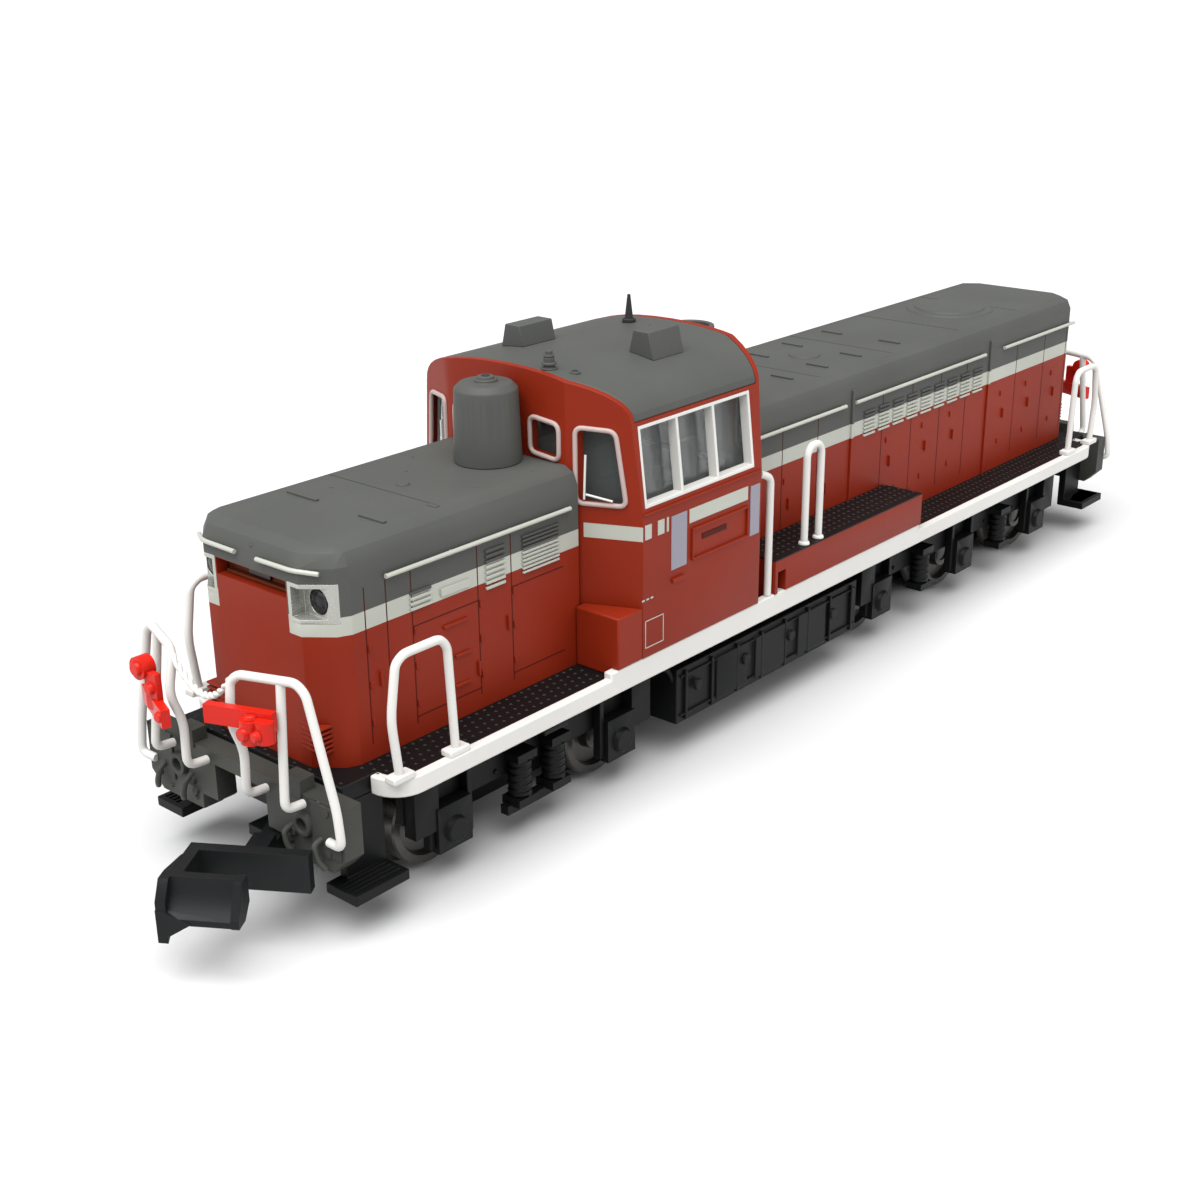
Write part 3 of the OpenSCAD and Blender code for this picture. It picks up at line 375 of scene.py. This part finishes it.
def make_hoods():
    """Both hood shells in red, grey and silver white."""
    mats = [RED, GREY, SILVER]
    skin("short_hood_shell", "short_hood", mats, 0.14, hood_cuts(), hood_paint(FRONT_Y, 1))
    skin("long_hood_shell", "long_hood", mats, 0.14, hood_cuts(), hood_paint(REAR_Y, -1))


def strip(bm, y, z, mat, thick, turn):
    """A thin raised strip on a hood's side."""
    block(bm, (HOOD_X - 0.02, HOOD_X + thick), y, z, mat, turn)


def seam(bm, y, turn):
    """An upright door seam on a hood's side."""
    strip(bm, (y - SEAM_HALF, y + SEAM_HALF), (SEAM_LOW, SEAM_TOP), 0, SEAM_PROUD, turn)


def louvres(bm, y, z, rows, turn, upper):
    """Slats on a hood's side: white inside the painted band, and the colour upper above it."""
    pitch = (z[1] - z[0]) / rows
    for i in range(rows):
        low = z[0] + i * pitch
        paint = upper if low > BAND[1] - 0.1 else 0
        strip(bm, y, (low, low + pitch * 0.55), paint, 0.13, turn)


def end_vents(bm, y_near, y_far):
    """The low vents at the corners of a hood's end."""
    for s in (-1, 1):
        for i in range(6):
            z = 9.3 + i * 0.28
            block(bm, (s * 3.2, s * 4.9), (y_near, y_far), (z, 9.44 + i * 0.28), 1)


def make_short_hood_details():
    """Door seams, louvres, handles and hinges on the short hood."""
    seams = bmesh.new()
    trims = bmesh.new()
    for turn in BOTH:
        for y in (-39.8, -38.3, -36.5, -31.5, -28.8):
            seam(seams, y, turn)
        for y0, y1 in ((-36.5, -31.5), (-28.8, -24.4)):
            for z in (14.95, 9.6):
                strip(seams, (y0, y1), (z - SEAM_HALF, z + SEAM_HALF), 0, SEAM_PROUD, turn)
        louvres(trims, (-30.9, -29.35), (15.4, 17.9), 8, turn, 2)
        louvres(trims, (-27.9, -24.8), (15.5, 17.9), 10, turn, 2)
        louvres(trims, (-36.65, -35.1), (15.9, 17.1), 4, turn, 2)
        strip(trims, (-34.4, -32.2), (16.05, 16.5), 0, 0.14, turn)
        for y0, y1, z in ((-34.3, -32.4, 14.2), (-33.5, -32.3, 12.2), (-33.6, -32.4, 10.4)):
            strip(trims, (y0, y1), (z - 0.09, z + 0.09), 1, 0.14, turn)
        for y, z in ((-29.2, 12.9), (-39.0, 12.8), (-31.7, 10.9)):
            strip(trims, (y - 0.07, y + 0.07), (z - 0.45, z + 0.45), 1, 0.18, turn)
        for y in (-39.8, -36.5, -31.5, -28.8):
            for z in (10.2, 12.4, 14.5):
                strip(trims, (y + 0.06, y + 0.2), (z, z + 0.42), 1, 0.1, turn)
    end_vents(trims, FRONT_Y - 0.02, FRONT_Y + 1.0)
    piece("short_hood_seams", seams, "loco_frame", [LINE])
    piece("short_hood_trims", trims, "loco_frame", [SILVER, RED, GREY], 0.03)


def make_roof_details():
    """Lifting bars, seams, hatches and the fan ring on top of the hoods."""
    bm = bmesh.new()
    top = HOOD_TOP
    for x, y in (((-3.8, -1.3), -36.7), ((2.4, 4.4), -36.9)):
        block(bm, x, (y - 0.13, y + 0.13), (top - 0.1, top + 0.13))
    block(bm, (-4.6, 4.6), (-33.05, -32.98), (top - 0.1, top + 0.02), 1)
    block(bm, (3.9, 4.6), (-33.4, -33.1), (top - 0.3, top + 0.06))
    disc(bm, (0.1, -31.6, top - 0.02), (0, 0, 1), 0.42, 0.36, 0.12)
    for x, y in ((-3.4, -27.6), (-1.6, -29.8), (3.6, -29.4), (4.1, -25.2), (-2.6, -34.6)):
        disc(bm, (x, y, top - 0.03), (0, 0, 1), 0.12, 0.08, 0.1, sides=16)
    for y in (-4.5, 4.0, 13.5, 23.4, 33.0):
        block(bm, (-4.6, 4.6), (y - 0.03, y + 0.03), (top - 0.1, top + 0.02), 1)
    disc(bm, (0, 30, top - 0.02), (0, 0, 1), 3.6, 3.4, 0.16, sides=64)
    disc(bm, (0, 30, top + 0.12), (0, 0, 1), 2.9, 2.75, 0.16, sides=64)
    for y in (2.2, 6.6, 11.0, 16.4):
        for x in (-2.6, 2.6):
            block(bm, (x - 0.9, x + 0.9), (y - 0.12, y + 0.12), (top - 0.05, top + 0.13))
    disc(bm, (0, 8.8, top - 0.02), (0, 0, 1), 1.2, 1.1, 0.14, sides=48)
    for sign, y in ((1, FRONT_Y), (-1, REAR_Y)):
        disc(bm, (0.1, y + sign * 0.3, 19.3), (0, 0, 1), 0.2, 0.2, 0.75, sides=20)
    piece("hood_roof_details", bm, "loco_frame", [GREY, GREY_LINE], 0.04)


def make_hood_rails():
    """Grab rails along the tops of the hoods and across their ends."""
    x = HOOD_X + 0.2
    y = FRONT_Y
    front = [[(s * 0.9, y - 0.2, 19.5), (s * 3.7, y - 0.15, 19.5), (s * 4.95, y + 0.55, 19.4)]
             for s in (-1, 1)]
    sides = [(-38.4, -23.9), (-6.2, 5.5), (6.8, 25.7), (28.8, 41.2)]
    lines = [[(s * x, a, RAIL_Z), (s * x, b, RAIL_Z)] for s in (-1, 1) for a, b in sides]
    back = [[tuple(TURN @ Vector(p)) for p in line] for line in front]
    wires("hood_rails", front + back + lines, 0.13, "loco_frame", SILVER)
    bm = bmesh.new()
    for s in (-1, 1):
        for a, b in sides:
            count = max(2, round((b - a) / 4.5))
            for i in range(count + 1):
                y = a + 0.2 + (b - a - 0.4) * i / count
                disc(bm, (s * (HOOD_X - 0.1), y, RAIL_Z), (s, 0, 0), 0.08, 0.08, 0.32, sides=12)
    piece("hood_rail_posts", bm, "loco_frame", [SILVER])


def make_long_hood_details():
    """Door seams, louvres, joint covers and hinges on the long hood."""
    seams = bmesh.new()
    trims = bmesh.new()
    for turn in BOTH:
        for y in (-2.0, 2.3, 10.8, 15.0, 19.2, 23.2, 31.5, 36.4, 40.4):
            seam(seams, y, turn)
        for y in (6.6, 26.8):
            strip(trims, (y - 0.14, y + 0.14), (DECK_Z, BAND[0]), 1, 0.16, turn)
            strip(trims, (y - 0.14, y + 0.14), (*BAND,), 0, 0.16, turn)
            strip(trims, (y - 0.14, y + 0.14), (BAND[1], 19.4), 2, 0.16, turn)
        for i in range(9):
            y = 8.2 + i * 2.0
            louvres(trims, (y, y + 1.5), (15.6, 17.6), 7, turn, 2)
        for y in (-1.2, 3.4, 12.0, 17.2, 21.4, 29.6, 34.0, 38.6):
            strip(trims, (y - 0.08, y + 0.08), (12.5, 13.3), 1, 0.18, turn)
            for z in (10.4, 14.4):
                strip(trims, (y - 0.6, y - 0.44), (z, z + 0.42), 1, 0.1, turn)
    end_vents(trims, REAR_Y + 0.02, REAR_Y - 1.0)
    piece("long_hood_seams", seams, "loco_frame", [LINE])
    piece("long_hood_trims", trims, "loco_frame", [SILVER, RED, GREY], 0.03)


def make_lamps():
    """Lamp lenses, their silver surrounds and the slots at each hood's end."""
    lens = bmesh.new()
    slots = bmesh.new()
    for turn in ENDS:
        for s in (-1, 1):
            at = (s * LAMP_X, FRONT_Y + 1.25, LAMP_Z)
            disc(lens, at, (0, -1, 0), 0.69, 0.64, 0.34, 0, 40, turn)
            disc(lens, (at[0], at[1] - 0.32, at[2]), (0, -1, 0), 0.56, 0.3, 0.12, 0, 40, turn)
        block(slots, (-2.8, 2.8), (FRONT_Y + 0.75, FRONT_Y + 1.08), (17.8, 18.62), 0, turn)
        block(slots, (-2.6, 2.6), (FRONT_Y + 0.45, FRONT_Y + 0.76), (17.8, 17.98), 0, turn)
        block(slots, (-0.9, 0.9), (FRONT_Y + 0.6, FRONT_Y + 0.8), (18.05, 18.45), 1, turn)
    piece("lamp_lenses", lens, "loco_frame", [LENS], 0.03)
    piece("number_slots", slots, "loco_frame", [AMBER, LENS], 0.03)
    skin("headlight_bezels", "lamp_surrounds", [CHROME, SILVER], 0.04,
         pick=lambda c, n: 1 if abs(n.y) > 0.4 and min(abs(c.y - FRONT_Y), abs(c.y - REAR_Y)) < 0.62 else 0)


# ---------- cab ----------

def facet_y(x, rear=False):
    """Y of the cab's slanted corner at a given X."""
    near, far = (CAB_REAR, CAB_REAR - 2.4) if rear else (CAB_FRONT, CAB_FRONT + CORNER_IN)
    return near + (far - near) * (abs(x) - CREASE_X) / (CAB_X - CREASE_X)


def cab_paint(c, n):
    """0 red, 1 silver white on the slanted corners and their share of the side."""
    facet = abs(n.y) > 0.2 and abs(n.x) > 0.2 and abs(c.x) > CREASE_X
    return 1 if facet and CAB_BAND[0] < c.z < CAB_BAND[1] and abs(c.x) > 5.75 else 0


def window_loop(points, rear, proud):
    """A window's outline laid on the cab's end wall."""
    sign = 1 if rear else -1
    line = []
    for x, z in points:
        base = facet_y(x, rear) if abs(x) > CREASE_X else (CAB_REAR if rear else CAB_FRONT)
        line.append(Vector((x, base + sign * proud, z)))
    return line


def make_cab():
    """The cab's shell, roof, side windows, and the rims and wipers of its end windows."""
    cuts = [((0, 0, z), (0, 0, 1)) for z in CAB_BAND]
    cuts += [((s * 5.75, 0, 0), (1, 0, 0)) for s in (-1, 1)]
    skin("cab_shell", "cab", [RED, SILVER], 0.09, cuts, cab_paint)
    skin("cab_roof", "cab_roof_skin", [GREY], 0.12)
    skin("side_window_frames", "side_frames_white", [WHITE], 0.05)
    loops = []
    wipers = []
    inner = [(2.0, 21.0), (4.3, 20.8), (4.3, 23.0), (2.0, 23.2)]
    outer = [(5.35, 18.4), (8.2, 18.4), (7.6, 22.9), (5.35, 23.0)]
    for rear in (False, True):
        for s in (-1, 1):
            for shape in (inner, outer):
                line = window_loop([(s * x, z) for x, z in shape], rear, 0.04)
                middle = (line[0] + line[1]) / 2
                loops.append([middle] + line[1:] + [line[0], middle])
            wipers.append(window_loop([(s * 5.9, 18.7), (s * 6.0, 21.4)], rear, 0.16))
            wipers.append(window_loop([(s * 6.0, 19.0), (s * 7.5, 18.7)], rear, 0.16))
    wires("end_window_rims", loops, 0.15, "loco_frame", PINK_RIM, bend=0.5)
    wires("wipers", wipers, 0.07, "loco_frame", WHITE, bend=0)


def make_cab_side():
    """Plain plates, the slotted panel and small marks on the cab's sides."""
    bm = bmesh.new()
    x = CAB_X
    plates = [((-20.94, -20.34), (16.35, 17.27), 0), ((-19.75, -19.14), (16.35, 17.27), 0),
              ((-18.9, -18.72), (16.35, 17.27), 0), ((-18.45, -16.95), (13.75, 17.2), 1),
              ((-10.4, -9.4), (13.75, 17.1), 1), ((-16.7, -10.7), (16.3, 17.2), 0),
              ((-15.4, -12.9), (14.95, 15.3), 2), ((-16.5, -10.7), (13.86, 13.98), 3),
              ((-16.5, -10.7), (15.8, 15.92), 3), ((-16.5, -16.38), (13.9, 15.9), 3),
              ((-10.82, -10.7), (13.9, 15.9), 3), ((-18.4, -17.2), (12.92, 13.2), 3),
              ((-21.1, -9.4), (17.92, 18.0), 3)]
    for turn in BOTH:
        for y, z, mat in plates:
            block(bm, (x - 0.02, x + (0.16 if mat == 3 else 0.05)), y, z, mat, turn)
        for i in range(3):
            y = -21.2 + 0.4 * i
            block(bm, (x - 0.02, x + 0.03), (y, y + 0.24), (12.5, 12.62), 0, turn)
        for y in (-20.9, -19.2):
            block(bm, (x - 0.02, x + 0.03), (y, y + 0.06), (9.4, 11.2), 0, turn)
        for z in (9.4, 11.14):
            block(bm, (x - 0.02, x + 0.03), (-20.9, -19.14), (z, z + 0.06), 0, turn)
    piece("cab_side_plates", bm, "loco_frame", [SILVER, LAVENDER, LINE, RED], 0.03)


def make_cab_roof_parts():
    """The stack, cowls, whistle, antenna and small fittings around the cab's roof."""
    names = (("steam_stack", "heating_stack"), ("roof_vents", "vent_cowls"), ("whistle", "roof_whistle"))
    for node, name in names:
        skin(node, name, [GREY], 0.07)
    skin("engine_exhaust", "exhaust", [GREY], 0.07)
    skin("antenna", "roof_antenna", [GREY_LINE], 0.03)
    bm = bmesh.new()
    for i, r in enumerate((0.62, 0.46, 0.33)):
        disc(bm, (2.7, CAB_FRONT + 1, 25.5 + 0.22 + i * 0.45), (0, 0, 1), r, r * 0.92, 0.16, sides=32)
    disc(bm, (4.1, CAB_FRONT + 1.7, 25.5), (0, 0, 1), 0.36, 0.34, 0.34, sides=28)
    disc(bm, (4.1, CAB_FRONT + 1.7, 25.8), (0, 0, 1), 0.22, 0.22, 0.08, 1, 24)
    block(bm, (5.05, 5.35), (CAB_FRONT + 0.5, CAB_FRONT + 2.1), (25.25, 25.45))
    disc(bm, (0.1, -9.1, 25.93), (0, 0, 1), 0.3, 0.26, 0.12, 0, 24)
    stack = ((STACK_LOW.x + STACK_HIGH.x) / 2, STACK_LOW.y + 2.05)
    disc(bm, (*stack, STACK_HIGH.z - 0.05), (0, 0, 1), 0.55, 0.5, 0.2, 0, 32)
    disc(bm, (*stack, STACK_HIGH.z + 0.12), (0, 0, 1), 0.25, 0.25, 0.08, 1, 24)
    piece("roof_fittings", bm, "loco_frame", [GREY, GREY_LINE], 0.04)


# ---------- deck, beams, rails ----------

def make_deck():
    """The deck, sills and boxes, with raised studs on what is walked on."""
    skin("running_board", "running_board_skin", [BLACK], 0.08)
    skin("side_sills", "white_sills", [WHITE], 0.1)
    skin("equipment_boxes", "red_boxes", [RED], 0.1)
    skin("walkway_boxes", "raised_walkways", [RED, BLACK], 0.08,
         cuts=[((0, 0, 11.1), (0, 0, 1))], pick=lambda c, n: 1 if c.z > 11.1 else 0)
    bm = bmesh.new()
    pitch = 0.62
    areas = [((5.95, 8.35), (-40.9, -23.6), DECK_Z), ((-8.35, -5.95), (-40.9, -23.3), DECK_Z),
             ((5.95, 8.35), (11.7, 40.9), DECK_Z), ((-8.35, -5.95), (11.7, 40.9), DECK_Z),
             ((-6.6, 6.6), (-43.1, -42.75), DECK_Z), ((-6.6, 6.6), (42.75, 43.1), DECK_Z),
             ((5.95, 8.9), (-6.2, 11.2), WALKWAY_TOP), ((-8.9, -5.95), (-6.0, 11.2), WALKWAY_TOP)]
    for x, y, z in areas:
        for i in range(int((x[1] - x[0]) / pitch) + 1):
            for j in range(int((y[1] - y[0]) / pitch) + 1):
                at = (x[0] + i * pitch, y[0] + (j + 0.5 * (i % 2)) * pitch, z - 0.01)
                disc(bm, at, (0, 0, 1), 0.17, 0.08, 0.07, sides=4)
    piece("tread_studs", bm, "loco_frame", [BLACK])


def make_beams():
    """End beams, corner steps, rivets, sockets and brake hoses."""
    skin("end_beam_front", "front_beam", [BEAM_GREY], 0.1)
    skin("end_beam_rear", "rear_beam", [BEAM_GREY], 0.1)
    skin("corner_steps", "steps", [BLACK], 0.06)
    bm = bmesh.new()
    for turn in ENDS:
        for s in (-1, 1):
            ring(bm, (s * 5.4, BEAM_Y + 0.02, 6.3), 0.72, 0.4, 0.36, turn)
            for x, z in ((4.2, 4.5), (4.6, 7.9), (6.6, 7.9), (6.5, 4.5), (7.8, 6.4), (4.1, 6.9)):
                disc(bm, (s * x, BEAM_Y + 0.02, z), (0, -1, 0), 0.17, 0.1, 0.14, 0, 16, turn)
            block(bm, (s * 3.9, s * 5.3), (BEAM_Y - 0.1, BEAM_Y + 0.9), (7.7, 8.8), 0, turn)
            block(bm, (s * 6.0, s * 8.2), (BEAM_Y - 0.12, BEAM_Y + 0.1), (5.0, 7.9), 0, turn)
            disc(bm, (s * 4.4, BEAM_Y + 0.1, 5.6), (0, -1, 0), 0.34, 0.3, 0.34, 0, 24, turn)
    piece("beam_fittings", bm, "loco_frame", [BEAM_GREY], 0.04)
    hoses = []
    for s in (-1, 1):
        for x in (4.4, 6.8):
            hoses.append([(s * x, -44.6, 5.9), (s * (x - 0.1), -45.1, 5.7), (s * (x + 0.15), -45.15, 4.9),
                          (s * (x + 0.5), -44.9, 4.4)])
    wires("brake_hoses", hoses, 0.17, "loco_frame", BEAM_GREY, ENDS)


def rail_lines(s):
    """The two bent wires of one end rail, whose legs stand forward of the beam."""
    b = BEAM_Y
    foot = b - 0.2
    outer = [(s * 2.57, foot, 7.5), (s * 2.57, b - 1.5, 7.6), (s * 2.6, b - 1.4, 10.2),
             (s * 2.6, b - 2.1, 12.1), (s * 2.45, b - 1.75, 14.2), (s * 2.9, b - 1.55, 14.65),
             (s * 6.1, b - 0.45, 14.7), (s * 6.7, b - 0.35, 14.2), (s * 8.4, b - 0.3, 8.1),
             (s * 8.65, b - 0.35, 6.1), (s * 7.5, foot, 6.0)]
    middle = [(s * 5.2, b - 0.7, 14.6), (s * 5.6, b - 1.4, 7.7), (s * 5.6, foot, 7.6)]
    return [outer, middle]


def chain_strand(phase):
    """One strand of the twisted chain that sags between the inner legs."""
    line = []
    steps = 90
    for i in range(steps + 1):
        t = 2 * i / steps - 1
        turn = phase + t * math.pi * 6
        y = BEAM_Y - 1.75 + 0.09 * math.cos(turn)
        line.append((t * 2.45, y, 12.75 + 1.6 * t * t + 0.09 * math.sin(turn)))
    return line


def make_rails():
    """White wire rails at the ends, along the deck and beside the cab."""
    both = rail_lines(1) + rail_lines(-1)
    for end, turn in (("front", SAME), ("rear", TURN)):
        node = "end_rails_" + end
        wires(end + "_rails", both, 0.25, "loco_frame", WHITE, (turn,), 0.7, (node,))
    strands = [chain_strand(0), chain_strand(math.pi)]
    wires("end_chains", strands, 0.12, "loco_frame", WHITE, ENDS, 0)
    x, z = 8.6, DECK_Z + 0.1
    corner = [(x, -40.6, z), (x, -41.0, 11.9), (x, -40.5, 14.9), (x, -39.9, 15.3), (x, -37.3, 15.3),
              (x, -36.8, 14.7), (x, -36.5, z)]
    other = [(-px, py, pz) for px, py, pz in corner]
    turned = [[tuple(TURN @ Vector(p)) for p in line] for line in (corner, other)]
    x = CAB_X - 0.45
    top = BOX_TOP
    box = [(x, -3.4, top), (x, -3.4, 17.5), (x, -3.0, 18), (x, -2.1, 18), (x, -1.7, 17.5), (x, -1.7, top)]
    sill = DECK_Z + 0.55
    door_x = CAB_X - 0.35
    doors = [[(-x, -23.9, sill), (-x, -23.4, 17.1), (-x, -22.9, 17.5)],
             [(door_x, -7.7, sill), (door_x, -7.7, 17), (door_x - 0.15, -8.7, 17.4)]]
    lines = [corner, other, *turned, box, [(-px, py, pz) for px, py, pz in box], *doors]
    wires("hand_rails", lines, 0.25, "loco_frame", WHITE, bend=0.8, replaces=("walkway_rails",))
    bm = bmesh.new()
    for s in (-1, 1):
        for y in (-3.4, -1.7):
            disc(bm, (s * x, y, top - 0.02), (0, 0, 1), 0.42, 0.34, 0.25, 0, 24)
    for turn in ENDS:
        for s in (-1, 1):
            for y in (-40.6, -36.5):
                block(bm, (s * 8.2, s * 9.0), (y - 0.75, y + 0.75), (DECK_Z + 0.02, DECK_Z + 0.42), 0, turn)
    piece("rail_feet", bm, "loco_frame", [WHITE], 0.08)


def make_levers():
    """Red levers on the end rails, with the small lamps on them."""
    skin("uncoupling_levers", "red_levers", [LEVER], 0.14)
    bm = bmesh.new()
    front = BEAM_Y - 2.2
    for turn in ENDS:
        disc(bm, (4.5, front - 0.45, 12.2), (0, -1, 0), 0.42, 0.34, 0.32, 0, 28, turn)
        disc(bm, (4.5, front, 12.88), (0, 0, 1), 0.42, 0.3, 0.26, 0, 28, turn)
        disc(bm, (5.4, front - 0.3, 12.3), (0, -1, 0), 0.32, 0.26, 0.34, 0, 24, turn)
        disc(bm, (-4.4, front - 0.5, 13.3), (0, -1, 0), 0.45, 0.38, 0.26, 0, 32, turn)
        disc(bm, (-3.6, front - 0.3, 12.3), (0, -1, 0), 0.36, 0.3, 0.3, 0, 24, turn)
        disc(bm, (-2.3, front - 0.75, 11.2), (0, -1, 0), 0.36, 0.28, 0.3, 0, 24, turn)
    piece("lever_lamps", bm, "loco_frame", [LEVER], 0.06)


# ---------- running gear ----------

def spring_line(x, y, z0, z1, turns=5, radius=0.58):
    """The helix of one bogie spring."""
    steps = turns * 18
    return [(x + radius * math.cos(2 * math.pi * i / 18), y + radius * math.sin(2 * math.pi * i / 18),
             z0 + (z1 - z0) * i / steps) for i in range(steps + 1)]


def make_bogies():
    """Bogie sides with their coils, axlebox lids, horns and rivets."""
    skin("side_frames_front", "front_bogie_sides", [BLACK], 0.08, body="bogie_front")
    skin("side_frames_rear", "rear_bogie_sides", [BLACK], 0.08, body="bogie_rear")
    rows = (("front", FRONT_BOGIE_Y, (-1.45, 1.45), (-7.2, 7.2), 10.2),
            ("rear", REAR_BOGIE_Y, (-6.2, 6.2), (-12.4, 0, 12.4), 15.3))
    for end, centre, springs, axles, half in rows:
        coils = [spring_line(s * 7.4, centre + y, 2.95, 5.3) for s in (-1, 1) for y in springs]
        wires(end + "_coils", coils, 0.15, "bogie_" + end, BLACK, bend=0)
        bm = bmesh.new()
        for turn in BOTH:
            for y in axles:
                disc(bm, (7.85, centre + y, AXLE_Z), (1, 0, 0), 0.85, 0.7, 0.35, 0, 36, turn)
                for a in range(0, 360, 60):
                    dy, dz = 0.62 * math.cos(math.radians(a)), 0.62 * math.sin(math.radians(a))
                    disc(bm, (8.12, centre + y + dy, AXLE_Z + dz), (1, 0, 0), 0.1, 0.08, 0.1, 0, 12, turn)
                for s in (-1, 1):
                    horn = centre + y + s * 1.5
                    block(bm, (7.0, 7.6), (horn - 0.18, horn + 0.18), (2.4, 6.3), 0, turn)
            for k in range(7):
                y = centre - half + 1.2 + k * (2 * half - 2.4) / 6
                disc(bm, (6.93, y, 6.0), (1, 0, 0), 0.2, 0.16, 0.16, 0, 16, turn)
                disc(bm, (6.93, y, 4.8), (1, 0, 0), 0.16, 0.12, 0.16, 0, 16, turn)
        piece(end + "_axleboxes", bm, "bogie_" + end, [BLACK], 0.05)


def make_underframe():
    """Tank ribs, caps and pipes below the deck."""
    skin("underframe_tanks", "tanks", [BLACK], 0.12)
    skin("coupler_pockets", "pockets", [BLACK], 0.05)
    bm = bmesh.new()
    for turn in BOTH:
        for i in range(8):
            y = -16.2 + i * 2.75
            block(bm, (8.35, 8.62), (y, y + 0.22), (2.8, 6.2), 0, turn)
        for y in (-15, -9.8, -4.6, 0.6):
            disc(bm, (8.6, y, 4.9), (1, 0, 0), 0.42, 0.36, 0.2, 0, 28, turn)
        for z in (3.1, 5.8):
            block(bm, (8.35, 8.55), (-16.6, 3.7), (z, z + 0.14), 0, turn)
        block(bm, (8.3, 9.0), (-29.8, -27.8), (6.9, 7.2), 0, turn)
    piece("tank_ribs", bm, "loco_frame", [BLACK], 0.05)
    pipes = [[(7.6, -22.5, 7.0), (7.6, -18.2, 7.0), (8.0, -17.2, 6.4), (8.0, -16.7, 5.4)],
             [(7.7, 4.2, 6.9), (7.7, 39.0, 6.9)], [(7.7, -39.5, 6.9), (7.7, -31.0, 6.9)]]
    wires("underframe_pipes", pipes, 0.16, "loco_frame", BLACK, BOTH)


def make_couplers():
    """Both hook couplers, each riding on its own body."""
    for end in ("front", "rear"):
        node = "coupler_" + end
        skin(node, end + "_hook", [COUPLER], 0.12, body=node)


def finish_inner_nodes():
    """Gives the CAD nodes that stay as they are a fitting surface."""
    groups = {
        ZINC: ["chassis_right", "chassis_left"],
        STEEL: ["motor_can", "chassis_screws"],
        BRASS: ["shaft_bearings", "flywheels", "worm_shaft_front", "worm_shaft_rear"],
        COPPER: ["motor_rotor", "pickups_front", "pickups_rear"],
        BLACK: ["bogie_core_front", "bogie_core_rear", "keeper_plate_front", "keeper_plate_rear"],
        WHEEL: [f"wheelset_{i}" for i in range(1, 6)],
        IVORY: [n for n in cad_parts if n.startswith(("drive_gear", "idler"))],
        GREEN: ["light_boards"],
        AMBER: ["light_guides"],
        INTERIOR: ["cab_interior"],
        GLASS: ["cab_glazing"],
    }
    for mat, names in groups.items():
        for name in names:
            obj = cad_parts[name]
            obj.data.materials.clear()
            obj.data.materials.append(mat)


make_camera()
make_studio()
make_hoods()
make_short_hood_details()
make_long_hood_details()
make_roof_details()
make_hood_rails()
make_lamps()
make_cab()
make_cab_side()
make_cab_roof_parts()
make_deck()
make_beams()
make_rails()
make_levers()
make_bogies()
make_underframe()
make_couplers()
finish_inner_nodes()
